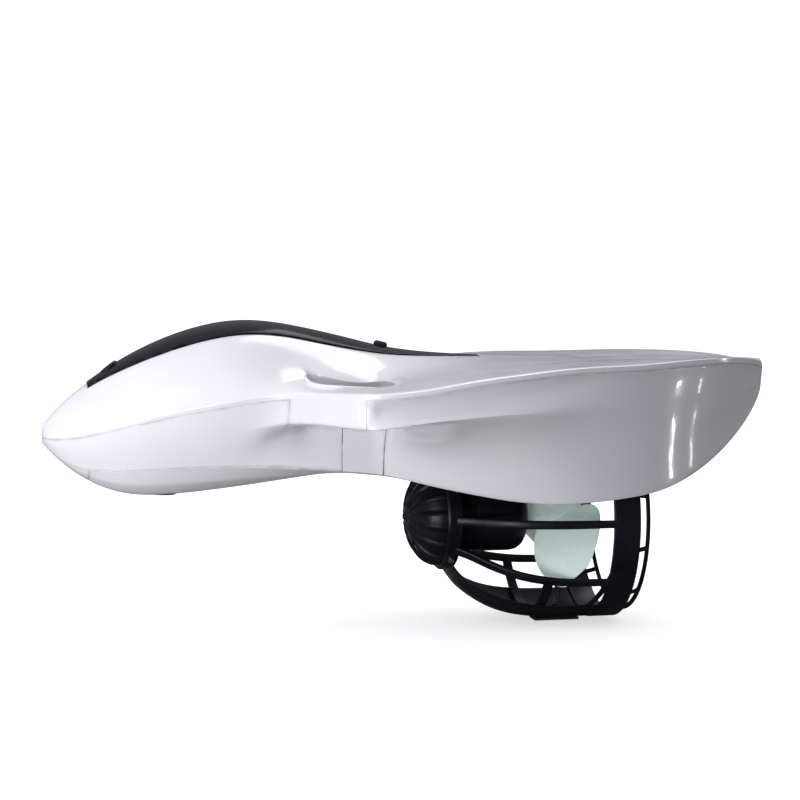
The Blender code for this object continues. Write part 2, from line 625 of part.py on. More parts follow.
def throttle():
    """A finger lever on the inner side of each handle, on an upright pin with a spring."""
    along = (HANDLE_END - HANDLE_START).normalized()
    away = Vector((along.y, -along.x))

    def spot(length, offset, z=LEVER_Z):
        place = HANDLE_START + along * length + away * offset
        return Vector((place.x, place.y, z))

    pivot = spot(66, 12)
    outline = [(70, 15.5), (66, 17), (56, 16.5), (34, 18.5), (6, 16.5), (4, 12.5), (34, 14), (54, 11)]
    outline += [(62, 8.2), (68, 8), (71, 11)]
    count = len(outline)
    points = [spot(a, b, LEVER_Z + h) for h in (-6, 6) for a, b in outline]
    faces = [tuple(range(count)), tuple(range(2 * count - 1, count - 1, -1))]
    faces += [(k, (k + 1) % count, count + (k + 1) % count, count + k) for k in range(count)]
    for side, name in ((1, "right"), (-1, "left")):
        flip = Vector((1, side, 1))
        centre = pivot * flip
        lever = mesh_object(f"throttle_lever_{name}", [p * flip for p in points], faces, BLACK,
                            origin=centre)
        up = Vector((0, 0, 1))
        rod(f"lever_pin_{name}", 2, centre - 13 * up, centre + 11 * up, STEEL, 12)
        cut(lever, rod(f"lever_bore_{name}", 2.5, centre - 9 * up, centre + 9 * up, BLACK, 12))
        ears = []
        for z in (LEVER_Z - 14, LEVER_Z + 6.5):
            corners = [spot(a, b) for a, b in ((61, 2), (72, 2), (72, 16), (61, 16))]
            shape = [Vector((c.x, c.y, z + h)) * flip for h in (0, 3.5) for c in corners]
            sides = [(k, (k + 1) % 4, 4 + (k + 1) % 4, 4 + k) for k in range(4)]
            ears.append((shape, [(3, 2, 1, 0), (4, 5, 6, 7)] + sides))
        bracket = mesh_object(f"lever_bracket_{name}", *ears[0], DARK_GREY, origin=centre)
        upper_ear = mesh_object(f"upper_ear_{name}", *ears[1], DARK_GREY)
        web = [spot(a, b) for a, b in ((61.5, 2.5), (71.5, 2.5), (71.5, 5), (61.5, 5))]
        shape = [Vector((c.x, c.y, LEVER_Z + h)) * flip for h in (-12, 8) for c in web]
        spine = mesh_object(f"bracket_web_{name}", shape, ears[0][1], DARK_GREY)
        join(bracket, upper_ear, spine)
        cut(bracket, rod(f"bracket_bore_{name}", 2.4, centre - 20 * up, centre + 20 * up, BLACK, 12))
        lever_spring(f"lever_spring_{name}", centre - 10 * up)


def lever_spring(name, base, radius=3.6, wire=0.5, turns=2, steps=12, around=5):
    """A torsion spring: two coils of wire round the pin."""
    points, faces = [], []
    total = turns * steps
    for k in range(total + 1):
        angle = 2 * math.pi * k / steps
        out = Vector((math.cos(angle), math.sin(angle), 0))
        place = base + radius * out + Vector((0, 0, 0.7 + 1.4 * k / steps))
        for n in range(around):
            turn = 2 * math.pi * n / around
            points.append(place + wire * (math.cos(turn) * out + Vector((0, 0, math.sin(turn)))))
    for k in range(total):
        for n in range(around):
            m = (n + 1) % around
            faces.append((around * k + n, around * k + m, around * (k + 1) + m, around * (k + 1) + n))
    faces += [tuple(range(around)), tuple(range(around * total, around * (total + 1)))]
    return mesh_object(name, points, faces, STEEL, origin=base)


# ---- thruster ----------------------------------------------------------------------------


def around_axis(x, radius, degrees):
    """A point about the thrust axis: 0 degrees is +Y, 90 is up."""
    angle = math.radians(degrees)
    return Vector((x, radius * math.cos(angle), AXIS_Z + radius * math.sin(angle)))


def intake_dome(ribs=16):
    """A ribbed dome in front of the motor, hollow behind."""
    outer = [(-6, 12), (-4, 25), (2, 38), (10, 46), (24, 51.5)]
    inner = [(24, 47.5), (10, 42.5), (2, 34), (-1.5, 22), (-3, 10)]
    segments = 4 * ribs
    points, rows = [], []
    for place, (x, radius) in enumerate(outer + inner):
        rows.append(list(range(len(points), len(points) + segments)))
        for k in range(segments):
            raised = 1.3 if place in (1, 2, 3) and k % 4 in (0, 1) else 0.0
            points.append(around_axis(x - 0.6 * raised, radius + raised, 360 * k / segments))
    faces = []
    for row, after in zip(rows, rows[1:] + rows[:1]):
        for k in range(segments):
            nxt = (k + 1) % segments
            faces.append((row[k], row[nxt], after[nxt], after[k]))
    return mesh_object("intake_dome", points, faces, BLACK, origin=(0, 0, AXIS_Z), smooth=25)


def ring_part(name, x_from, x_to, inner, outer, start, end, steps):
    """A stretch of a ring about the thrust axis."""
    whole = end - start >= 360
    count = steps if whole else steps + 1
    points, faces = [], []
    for k in range(count):
        degrees = start + (end - start) * k / steps
        for x, radius in ((x_from, inner), (x_from, outer), (x_to, outer), (x_to, inner)):
            points.append(around_axis(x, radius, degrees))
    for k in range(steps):
        m = (k + 1) % count
        for c in range(4):
            d = (c + 1) % 4
            faces.append((4 * k + c, 4 * k + d, 4 * m + d, 4 * m + c))
    if not whole:
        faces += [(3, 2, 1, 0), tuple(range(4 * steps, 4 * steps + 4))]
    return mesh_object(name, points, faces, BLACK)


STRUT_PATH = [(34, 52), (50, 63), (71, 80), (97, 95), (128, 104), (160, 107), (190, 107.3)]
SKID_PATH = [(33, 53), (45, 72), (71, 91), (97, 101.5), (128, 106.5), (160, 107.5), (190, 107.5)]
STRUTS = [0, 35, 145, 180, -35, -145]
SHIELD_SPREAD = 33  # degrees to each side of straight down


def guard_cage():
    """Collar, six struts, the shield below, ring band, rear hoop with its bridges, and braces."""
    cage = ring_part("guard_cage", 24.5, 40, 46.5, 55, 0, 360, 32)
    pieces = [ring_part("band", 184, 211, RING_RADIUS - 4, RING_RADIUS, 0, 360, 40)]
    pieces.append(ring_part("hoop", 219, 223, 99.5, 103.5, 3, 363, 40))
    for k in range(12):
        path = [around_axis(x, radius, 15 + 30 * k) for x, radius in ((207, 107), (221, 101.5))]
        side = around_axis(0, 1, 105 + 30 * k) - around_axis(0, 0, 0)
        pieces.append(swept(f"bridge_{k}", path, 2.2, 1.3, BLACK, side))
    for degrees in STRUTS:
        path = [around_axis(x, radius, degrees) for x, radius in STRUT_PATH]
        side = around_axis(0, 1, degrees + 90) - around_axis(0, 0, 0)
        pieces.append(swept(f"strut_{degrees}", path, 4.2, 2.2, BLACK, side))
    pieces.append(shield())
    pieces.append(ring_part("cradle", 118, 127, 99.5, 105, -143, -37, 12))
    for k, sign in enumerate((-1, 1)):
        stops = [(193, -14), (185, -32), (175, -52), (160, -76)]
        path, sides = [], []
        for x, degrees in stops:
            turn = degrees if sign > 0 else 180 - degrees
            path.append(around_axis(x, 106.5, turn))
            out = around_axis(0, 1, turn) - around_axis(0, 0, 0)
            sides.append(out.cross(Vector((0.85, 0, 0.5))))
        pieces.append(swept(f"brace_{k}", path, 2.6, 2.0, BLACK, sides))
    return join(cage, *pieces)


def shield(steps=8, thickness=2.6):
    """The curved plate below the propeller, from the collar to the ring band."""
    points, faces = [], []
    for x, radius in SKID_PATH:
        for side in (-0.5, 0.5):
            for k in range(steps + 1):
                degrees = -90 + SHIELD_SPREAD * (2 * k / steps - 1)
                points.append(around_axis(x, radius + side * thickness, degrees))
    width = steps + 1
    outline = list(range(width)) + list(range(2 * width - 1, width - 1, -1))
    for row in range(len(SKID_PATH) - 1):
        start = 2 * width * row
        for k, corner in enumerate(outline):
            after = outline[(k + 1) % len(outline)]
            faces.append((start + corner, start + after, start + 2 * width + after,
                          start + 2 * width + corner))
    last = 2 * width * (len(SKID_PATH) - 1)
    for start, turn in ((0, 1), (last, -1)):
        for k in range(steps):
            cell = (start + k, start + width + k, start + width + k + 1, start + k + 1)
            faces.append(cell[::turn])
    return mesh_object("shield", points, faces, BLACK)


def skid_pad():
    """A rubber foot with a flat face, under the lowest strut."""
    return block("skid_pad", (128, -12, 0), (176, 12, 2.6), RUBBER)


def motor():
    """The sealed motor pod and what turns in it."""
    outer = [(41, 37), (46, POD_RADIUS), (104, POD_RADIUS), (114, 34), (118, 26), (119, 11.5)]
    inner = [(112, 11.5), (112, 23), (106, 31.5), (100, 35), (41, 35)]
    housing = turned("motor_housing", outer + inner, BLACK, 32, (0, 0, AXIS_Z))
    profile = [(26, 0), (26, 46.2), (38, 46.2), (40.6, 44), (40.6, 11.5), (36, 11.5), (36, 0)]
    cap = turned("motor_end_cap", profile, BLACK, 32, (0, 0, AXIS_Z))
    bush("motor_stator", 26, 34.5, 52, 92, COPPER)
    bush("motor_rotor", SHAFT_RADIUS + GAP, 25.2, 54, 90, STEEL)
    bush("front_bearing", SHAFT_RADIUS + SHAFT_GAP, 11, 41.2, 48, STEEL, 20)
    bush("rear_bearing", SHAFT_RADIUS + SHAFT_GAP, 11, 96, 104, STEEL, 20)
    bush("shaft_seal", SHAFT_RADIUS + SHAFT_GAP, 11, 112.5, 118.5, RUBBER, 20)
    return housing, cap


def propeller():
    """Three wide blades on a hub, the shaft, the cross pin and the nut."""
    centre = (0, 0, AXIS_Z)
    shaft = rod("prop_shaft", SHAFT_RADIUS, (42, 0, AXIS_Z), (188, 0, AXIS_Z), STEEL, 20)
    hub_profile = [(121, SHAFT_RADIUS + GAP), (121, 17), (128, 20), (172, 20), (178, 15)]
    hub_profile += [(178, SHAFT_RADIUS + GAP)]
    hub = turned("propeller", hub_profile, MINT, 24, centre)
    for k in range(3):
        join(hub, blade(f"blade_{k}", 120 * k + 72))
    nut = [(178.4, 6.2), (178.4, 10), (184, 10), (192, 7), (194, 0), (190, 0), (190, 6.2)]
    turned("prop_nut", nut, STEEL, 6, centre)
    down = Vector((0, 0, -1))
    middle = Vector((134, 0, AXIS_Z))
    rod("drive_pin", 2, middle + 15 * down, middle - 15 * down, STEEL, 12)
    for owner in (shaft, hub):
        cut(owner, rod("pin_bore_" + owner.name, 2.3, middle + 17 * down, middle - 26 * down,
                       STEEL, 12))


def blade(name, turn, rows=7, columns=7):
    """One blade: wide, swept back and strongly twisted."""
    grid = []
    for r in range(rows):
        share = r / (rows - 1)
        radius = 17 + (PROP_RADIUS - 17) * share
        half_angle = 34 * (1 - 0.62 * share ** 2.2)
        half_axial = 22 + 10 * math.sin(math.pi * min(1, share * 0.9)) - 9 * share ** 3
        row = []
        for c in range(columns):
            s = 2 * c / (columns - 1) - 1
            degrees = turn + s * half_angle + 24 * share ** 1.5
            row.append(around_axis(PROP_X - 3 - s * half_axial, radius, degrees))
        grid.append(row)
    points = np.array([p for row in grid for p in row])
    faces = []
    for r in range(rows - 1):
        for c in range(columns - 1):
            k = r * columns + c
            faces.append([k, k + 1, k + columns + 1, k + columns])
    bm = bmesh.new()
    verts = [bm.verts.new(p) for p in points]
    for face in faces:
        bm.faces.new([verts[k] for k in face])
    bm.normal_update()
    normals = np.array([v.normal for v in bm.verts])
    bm.free()
    half = np.array([2.6 - 1.6 * (k // columns) / (rows - 1) for k in range(len(points))])
    both = np.vstack([points + half[:, None] * normals, points - half[:, None] * normals])
    count = len(points)
    made = faces + [[k + count for k in reversed(face)] for face in faces]
    border = list(range(columns)) + [r * columns + columns - 1 for r in range(1, rows)]
    border += [(rows - 1) * columns + c for c in range(columns - 2, -1, -1)]
    border += [r * columns for r in range(rows - 2, 0, -1)]
    for a, b in zip(border, border[1:] + border[:1]):
        made.append([b, a, a + count, b + count])
    return mesh_object(name, both, made, MINT)


def pylon(liner, housing):
    """The hollow leg between the bay roof and the motor, its bolts and the motor cable."""
    points = []
    outline = [(52, 0), (58, 8), (72, 11), (88, 7), (97, 0), (88, -7), (72, -11), (58, -8)]
    count = len(outline)
    for z in (AXIS_Z + 34, 182):
        points += [(x, y, z) for x, y in outline]
    faces = [tuple(range(count)), tuple(range(2 * count - 1, count - 1, -1))]
    faces += [(k, (k + 1) % count, count + (k + 1) % count, count + k) for k in range(count)]
    leg = mesh_object("pylon", points, faces, BLACK)
    flange = block("pylon_flange", (46, -24, 176), (98, 24, 181), BLACK)
    join(leg, flange)
    pod = rod("pod_clearance", POD_RADIUS + GAP, (30, 0, AXIS_Z), (125, 0, AXIS_Z), BLACK, 48)
    channel = rod("cable_channel", 5, (72, 0, 120), (72, 0, 215), BLACK, 12)
    cut(leg, pod, channel)
    cut(liner, channel)
    cut(housing, rod("housing_inlet", 5, (72, 0, 140), (72, 0, 160), BLACK, 12))
    for k in range(4):
        x = 53 if k < 2 else 91
        y = 17 if k % 2 else -17
        name = f"pylon_bolt_{k + 1}"
        head = [(-4, 0), (-4, 4.5), (0, 4.5), (0, 2.5), (24, 2.5), (24, 0)]
        turned(name, head, STEEL, 10, (x, y, 176 - GAP), (0, 0, 1))
        bore = rod(f"bolt_bore_{k}", 2.9, (x, y, 170), (x, y, 210), STEEL, 10)
        cut(leg, bore)
        cut(liner, bore)
    cable("motor_cable", [(-24, 0, 202), (10, 0, 208), (50, 0, 214), (71, 0, 202), (72, 0, 176),
                          (72, 0, 150)], 2.5, CABLE_ORANGE)


def guard_screws(cage, cap):
    """Four screws through the collar of the cage into the motor's end cap."""
    for k in range(4):
        degrees = (62, 118, 228, 312)[k]
        head, tip = around_axis(32, 57.5, degrees), around_axis(32, 44, degrees)
        inward = tip - head
        profile = [(0, 0), (0, 3.4), (2.2, 3.4), (2.2, 1.8), (13, 1.8), (13, 0)]
        turned(f"guard_screw_{k + 1}", profile, STEEL, 10, head, inward)
        for owner in (cage, cap):
            cut(owner, rod(f"screw_bore_{k}_{owner.name}", 2.2, head, tip, STEEL, 10))


def main():
    shells = body_shells()
    camera_socket(shells["top_cover"])
    power_button(shells["top_cover"])
    belly_latch(shells["belly_pan"])
    battery()
    electronics()
    floats()
    throttle()
    intake_dome()
    cage = guard_cage()
    housing, cap = motor()
    guard_screws(cage, cap)
    skid_pad()
    propeller()
    pylon(shells["thruster_bay_liner"], housing)


main()
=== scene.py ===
"""The look of the underwater scooter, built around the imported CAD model.

Tables and sizes are in millimetres, as in the CAD, and add_piece turns them into metres.
"""

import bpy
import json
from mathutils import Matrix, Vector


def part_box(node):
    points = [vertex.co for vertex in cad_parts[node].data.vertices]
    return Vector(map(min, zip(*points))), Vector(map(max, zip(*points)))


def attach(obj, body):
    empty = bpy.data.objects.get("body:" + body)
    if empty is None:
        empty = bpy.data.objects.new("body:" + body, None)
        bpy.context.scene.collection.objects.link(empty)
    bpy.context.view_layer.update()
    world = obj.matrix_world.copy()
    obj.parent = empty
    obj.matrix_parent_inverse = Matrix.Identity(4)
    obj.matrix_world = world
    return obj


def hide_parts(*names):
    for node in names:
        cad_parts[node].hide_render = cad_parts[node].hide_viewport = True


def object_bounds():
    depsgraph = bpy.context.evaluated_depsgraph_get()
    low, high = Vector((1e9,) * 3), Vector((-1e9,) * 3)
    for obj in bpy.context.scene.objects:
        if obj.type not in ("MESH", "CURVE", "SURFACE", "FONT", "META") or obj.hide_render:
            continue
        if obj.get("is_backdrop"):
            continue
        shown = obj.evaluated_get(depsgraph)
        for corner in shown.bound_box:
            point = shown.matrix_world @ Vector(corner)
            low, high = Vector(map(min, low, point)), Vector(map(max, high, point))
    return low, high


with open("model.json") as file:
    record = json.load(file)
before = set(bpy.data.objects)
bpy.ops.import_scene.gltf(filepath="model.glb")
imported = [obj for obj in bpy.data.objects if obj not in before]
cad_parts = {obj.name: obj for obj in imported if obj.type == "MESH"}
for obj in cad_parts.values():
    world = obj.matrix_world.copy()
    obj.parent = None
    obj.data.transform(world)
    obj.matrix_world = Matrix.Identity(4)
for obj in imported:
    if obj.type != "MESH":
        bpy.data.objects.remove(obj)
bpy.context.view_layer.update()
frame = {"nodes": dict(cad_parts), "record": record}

import json
import math

import bmesh
import bpy
import numpy as np
from mathutils import Vector
from mathutils.kdtree import KDTree

MM = 0.001
SHARP = 42.0  # edges that turn by more than this many degrees stay sharp
THIN_ENDS = 45.0  # the walls thin out over this length towards the nose and the stern

# Camera: azimuth and elevation in degrees, and lengths in metres.
VIEW = (-12.0, 3.97)
VIEW_DISTANCE = 2.2
VIEW_WIDTH = 0.829
AIM_SIDE = -0.013
AIM_HEIGHT = 0.7333  # of the object's height

# Studio: a pale floor, a sky that is dim at the horizon, and soft lamps.
WHITE = (1.0, 1.0, 1.0, 1.0)
FLOOR_Z = -0.0006  # just under the foot
FLOOR_GLOW = 0.62
FLOOR_BOUNCE = 0.24  # how light the floor is for everything but the camera
SKY_SIDE = 0.45  # how much darker the sky is towards the stern
SKY = [
    (0.0, (0.24, 0.23, 0.27)),
    (0.5, (0.12, 0.11, 0.135)),
    (0.62, (0.30, 0.295, 0.33)),
    (0.82, (0.90, 0.89, 0.94)),
    (1.0, (1.12, 1.11, 1.15)),
]  # colours from straight down to straight up
# Lamps: name, place, the point they face, width, power, then colour and height if they differ.
LAMPS = [
    ("key", (-2.1, -1.3, 1.5), (-0.2, 0.0, 0.25), 1.3, 4.5),
    ("left_low", (-0.95, -0.85, 0.14), (-0.12, 0.0, 0.2), 0.8, 5.8, (0.99, 0.98, 1.0), 0.24),
    ("nose_low", (-0.55, -0.62, 0.07), (-0.17, -0.05, 0.2), 0.5, 1.5, (0.97, 0.98, 1.0), 0.12),
    ("overhead", (0.7, 0.9, 2.1), (0.15, 0.0, 0.2), 1.2, 15.0),
    ("stern_streak", (0.79, -0.195, 0.02), (0.245, -0.109, 0.184), 0.022, 0.022, (1, 1, 1), 0.006),
    ("stern_spot", (0.83, -0.097, 0.034), (0.272, -0.109, 0.25), 0.008, 0.006, (1, 1, 1), 0.008),
    ("stern_line", (0.90, -0.054, 0.21), (0.304, -0.096, 0.276), 0.035, 0.02, (1, 1, 1), 0.006),
]

# The thruster: everything in it is turned about a line along X at this height.
AXIS_Z = 112.0
DOME_RADIUS = 51.5
POD_RADIUS = 38.0
PROP_X = 155.0
PROP_RADIUS = 97.0
HUB_RADIUS = 17.0
BLADES = 3
FIRST_BLADE = 72  # the angle of the first blade, which the photo shows
# The cage: bars and the shield follow paths of (x, radius); angles are about the axis.
STRUT_PATH = [(34, 52), (50, 63), (71, 80), (97, 95), (128, 104), (160, 107), (190, 107.3)]
SKID_PATH = [(33, 53), (45, 72), (71, 91), (97, 101.5), (128, 106.5), (160, 107.5), (190, 107.5)]
STRUTS = [0, 35, 145, 180, -35, -145]
HOOP_BRIDGES = 12
SHIELD_SPREAD = 33  # degrees to each side of straight down
DOWN = -90

# The button in the cover, the round lock in the belly, and the holes that they sit in.
BUTTON_X = -34.0
BUTTON_HOLE = 7.5
LATCH_X = -256.0
LATCH_HOLE = 12.5
LATCH_RISE = 3.0  # how far its face lies above the line of the belly

# Sections of the body are taken at these places along X.
STATIONS = [-368, -352, -325, -290, -250, -205, -170, -142, -122, -103, -83, -74, -64, -45, -25]
STATIONS += [5, 35, 65, 95, 122, 150, 190, 230, 270, 310, 345, 368]
COVER_FRONT, COVER_REAR = -325, 65
HANDLE_FRONT, HOLE_FRONT, HOLE_REAR = -142, -122, -45
SEAM_FRONT, BAY_FRONT, BAY_REAR = -83, -25, 345
SIDES = (-1, 1)

# Lines that run the length of the body, from the crest down to the middle of the underside.
CREST, COVER, WAIST, GRIP_IN, RIM, RIM_SIDE, RECESS, LIP = range(8)
GRIP_UNDER, WALL_TOP, EDGE, MOUTH, ROOF_CORNER, BOTTOM = range(8, 14)

# The course of each line, as (x, y, z) where it changes.
COURSES = {
    CREST: [
        (-368, 0, 211), (-352, 0, 231), (-331, 0, 249), (-303, 0, 272), (-268, 0, 294), (-237, 0, 309),
        (-195, 0, 320), (-169, 0, 321), (-127, 0, 314), (-80, 0, 302), (-43, 0, 291.5), (-7, 0, 284),
        (25, 0, 281), (61, 0, 279), (122, 0, 276), (200, 0, 274.5), (310, 0, 274), (368, 0, 271.5),
    ],
    COVER: [
        (-368, 4, 209.5), (-352, 7, 230), (-325, 9, 252.5), (-290, 31, 270), (-250, 42, 286),
        (-205, 48, 299), (-170, 49, 304), (-142, 47, 303), (-103, 41, 297.5), (-64, 34, 290),
        (-25, 27, 282.5), (5, 19, 280), (35, 11, 278.7), (65, 6, 278), (122, 12, 276), (200, 20, 274.5),
        (310, 14, 274), (368, 4.5, 271.2),
    ],
    WAIST: [
        (-368, 7, 206.5), (-352, 17, 219), (-325, 26, 237), (-290, 49, 254), (-250, 61, 270),
        (-205, 70, 284), (-170, 71, 284), (-142, 71, 278), (-122, 75, 270), (-103, 84, 262),
        (-83, 93, 257.5), (-64, 97, 256.5), (-45, 92, 259), (-25, 81, 264), (5, 72, 269.5), (35, 68, 273),
        (95, 60, 275), (230, 45, 275.5), (368, 8.5, 270.2),
    ],
    GRIP_IN: [
        (-368, 9.5, 204), (-352, 22, 209), (-325, 38, 221), (-290, 61, 236), (-250, 77, 251),
        (-205, 89, 263), (-170, 93, 265), (-142, 91, 261), (-122, 92, 258), (-103, 119, 257),
        (-83, 149, 257), (-64, 162, 257), (-45, 154, 258.5), (5, 142, 265), (65, 134, 271.5),
        (150, 112, 275), (230, 90, 276.5), (310, 50, 276), (368, 12, 268.4),
    ],
    RIM: [
        (-368, 11, 201), (-349, 27, 200), (-328, 43, 206), (-309, 55, 212.5), (-278, 71, 221),
        (-254, 81, 228), (-229, 90, 234), (-195, 100, 240), (-164, 106, 246), (-142, 114, 248.5),
        (-122, 150, 250), (-103, 181, 251), (-83, 201, 252), (-64, 207.5, 252.5), (-45, 208.5, 254),
        (-18, 208, 257.5), (22, 205, 264.5), (64, 197, 268.5), (107, 186, 272.5), (145, 174, 274),
        (186, 159, 274), (235, 135, 276.5), (285, 104, 277.5), (320, 76, 276.5), (350, 43, 273),
        (368, 14, 265.5),
    ],
    RECESS: [
        (-142, 111, 236), (-122, 148, 236), (-103, 179, 236), (-83, 199, 236), (-74, 191, 238),
        (-64, 189, 239.5), (-45, 187.5, 242), (-25, 186, 244), (5, 183, 247), (35, 179, 250),
        (65, 176, 252), (95, 173, 254.5), (122, 170.5, 257), (150, 166, 258), (190, 151, 257),
        (230, 132.5, 258), (270, 109, 260), (310, 80, 262), (345, 45, 262), (368, 13.2, 255),
    ],
    LIP: [
        (-142, 109, 219.5), (-122, 147, 220.5), (-103, 178, 219.5), (-83, 199, 217.5),
        (-74, 203.5, 218.5), (-64, 206, 220), (-45, 207, 222), (-25, 206, 225), (5, 203, 227.5),
        (35, 198, 229.5), (65, 191.5, 230.5), (95, 182, 231.5), (122, 171, 232.5), (150, 161, 234),
        (190, 146, 235.5), (230, 127, 238), (270, 103, 242), (310, 75, 248), (345, 42, 253),
        (368, 12.6, 252.5),
    ],
    GRIP_UNDER: [
        (-142, 91, 214.5), (-122, 93, 213.5), (-103, 120, 213.5), (-83, 150, 213.5), (-64, 163, 213.5),
        (-45, 154, 213), (-25, 160, 211), (5, 165, 209), (65, 168, 206), (122, 159, 205), (190, 139, 208),
        (230, 121, 212), (270, 97, 220), (310, 70, 232), (345, 39, 242), (368, 12, 250),
    ],
    WALL_TOP: [
        (-142, 80, 211), (-122, 72, 211), (-83, 69, 210), (-45, 73, 208), (-25, 93, 197), (5, 118, 187),
        (35, 135, 180), (65, 145, 175), (95, 149, 172), (122, 148.5, 171.5), (190, 133, 174),
        (230, 114, 180), (270, 90, 193), (310, 63, 214), (345, 35, 237), (368, 11, 247),
    ],
    EDGE: [
        (-368, 5, 197), (-352, 13, 179), (-325, 27, 168.5), (-290, 44, 168), (-250, 56, 172),
        (-205, 63, 173.5), (-170, 67.5, 173), (-122, 70, 170), (-83, 71, 166.5), (-45, 72, 162.5),
        (-25, 82, 158.5), (5, 101, 151), (35, 117, 145.5), (65, 130, 140), (95, 137, 137),
        (122, 139, 136.5), (150, 137, 137.5), (190, 128, 140), (230, 110, 145), (270, 85, 159),
        (310, 57, 181), (345, 31, 211), (368, 9.5, 243),
    ],
    MOUTH: [
        (-45, 48, 160), (-25, 62, 157.5), (5, 90, 152), (35, 107, 147), (65, 120, 141.5),
        (95, 127.5, 138.5), (122, 129.5, 138), (150, 127.5, 139), (190, 118.5, 141.5),
        (230, 100.5, 146.5), (270, 76, 160), (310, 48.5, 182), (345, 23, 212), (368, 6.5, 243.5),
    ],
    ROOF_CORNER: [
        (-45, 24, 159), (-25, 42, 163), (5, 70, 174), (35, 92, 183), (65, 106, 190), (95, 116, 202),
        (122, 122, 225), (150, 121, 233), (190, 112, 234), (230, 93, 235), (270, 69, 237), (310, 41, 242),
        (345, 17, 243), (368, 3.3, 245),
    ],
    BOTTOM: [
        (-368, 0, 195.5), (-352, 0, 177), (-325, 0, 155), (-303, 0, 143.5), (-283, 0, 138.5),
        (-264, 0, 137.5), (-223, 0, 141), (-172, 0, 147), (-122, 0, 155), (-83, 0, 161), (-45, 0, 158.5),
        (-25, 0, 164), (5, 0, 176), (35, 0, 185), (65, 0, 193), (95, 0, 202), (122, 0, 228),
        (150, 0, 236), (190, 0, 237), (270, 0, 240), (345, 0, 245), (368, 0, 246),
    ],
}

# Ahead of the handles the lines between the chine and the belly lie this far down the flank.
FLANK_SHARE = {RIM_SIDE: 0.08, RECESS: 0.27, LIP: 0.45, GRIP_UNDER: 0.63, WALL_TOP: 0.82}
# Ahead of the thruster bay the underside bulges down between the belly line and its middle.
BELLY_SHARE = {MOUTH: (0.72, 0.52), ROOF_CORNER: (0.38, 0.86)}
FLANK_BULGE = 2.5
RIM_DROP = (0.4, 6.0)  # from the rim down to the top of the recess, in Y and Z
# How sharp each line is, from 0 for a soft one to 1 for a knife edge.
CREASES = {RIM: 0.55, RIM_SIDE: 0.3, LIP: 0.5, GRIP_UNDER: 0.25, EDGE: 0.6, MOUTH: 0.45}
HOLE_CREASE = 0.62
BODY_LEVELS = 3  # how often the cage of the body is subdivided

# The skins of the shells: half the gap beside each one, the body of those that move, and looks.
SEAM_GAP = 0.06
WIDER_GAPS = {"top_cover": 0.25, "belly_pan": 0.10, "waist_band": 0.30}
BODY_OF = {"belly_pan": "battery_module"}
SHELL_LOOKS = {"top_cover": "cover_black", "thruster_bay_liner": "dark_grey"}
COVER_EDGE = {"rounding": 1.5, "lift": 1.3, "wall": 2.2, "fade": (-60.0, 62.0)}
EDGE_TURNS = (30, 60, 90)  # the steps in which an edge is rounded over, in degrees
MITRE = 1.4  # the most that a corner of an edge is drawn back, as a share
WEAR_REACH = 2.0  # how far the wear reaches from an edge

# CAD nodes that are kept as they are and get a soft edge of this width.
BEVELLED = {"belly_latch": 0.8, "pylon": 1.2, "lever_bracket_left": 0.6, "lever_bracket_right": 0.6,
            "motor_end_cap": 1.0, "throttle_lever_left": 1.6, "throttle_lever_right": 1.6}


# ---- the body's shape --------------------------------------------------------------------


def unit(vectors):
    """The directions of the rows of an array."""
    return vectors / np.linalg.norm(vectors, axis=-1)[..., None]


def curve_at(keys, x):
    """y and z of a line at x: a smooth curve through its keys that never overshoots them."""
    table = np.array(keys, float)
    places, values = table[:, 0], table[:, 1:]
    steps = np.diff(places)
    slopes = np.diff(values, axis=0) / steps[:, None]
    tangents = np.zeros_like(values)
    tangents[0], tangents[-1] = slopes[0], slopes[-1]
    for k in range(1, len(places) - 1):
        before, after = slopes[k - 1], slopes[k]
        total = before + after
        total[total == 0] = 1.0
        tangents[k] = np.where(before * after > 0, 2 * before * after / total, 0.0)
    k = int(np.clip(np.searchsorted(places, x) - 1, 0, len(steps) - 1))
    t = (x - places[k]) / steps[k]
    start = (1 + 2 * t) * (1 - t) ** 2 * values[k] + t * (1 - t) ** 2 * steps[k] * tangents[k]
    end = t * t * (3 - 2 * t) * values[k + 1] + t * t * (t - 1) * steps[k] * tangents[k + 1]
    return start + end


def section(x):
    """The 14 points of the half section at x, from the crest to the middle of the underside."""
    found = {line: curve_at(keys, x) for line, keys in COURSES.items()}
    found[RIM_SIDE] = found[RIM] - RIM_DROP
    if x < HANDLE_FRONT:
        drop = found[EDGE] - found[RIM]
        for line, share in FLANK_SHARE.items():
            found[line] = found[RIM] + share * drop
            found[line][0] += FLANK_BULGE * math.sin(math.pi * share)
    if x < HOLE_REAR:
        for line, (across, down) in BELLY_SHARE.items():
            depth = found[BOTTOM][1] - found[EDGE][1]
            found[line] = np.array((across * found[EDGE][0], found[EDGE][1] + down * depth))
    return [found[line] for line in range(BOTTOM + 1)]


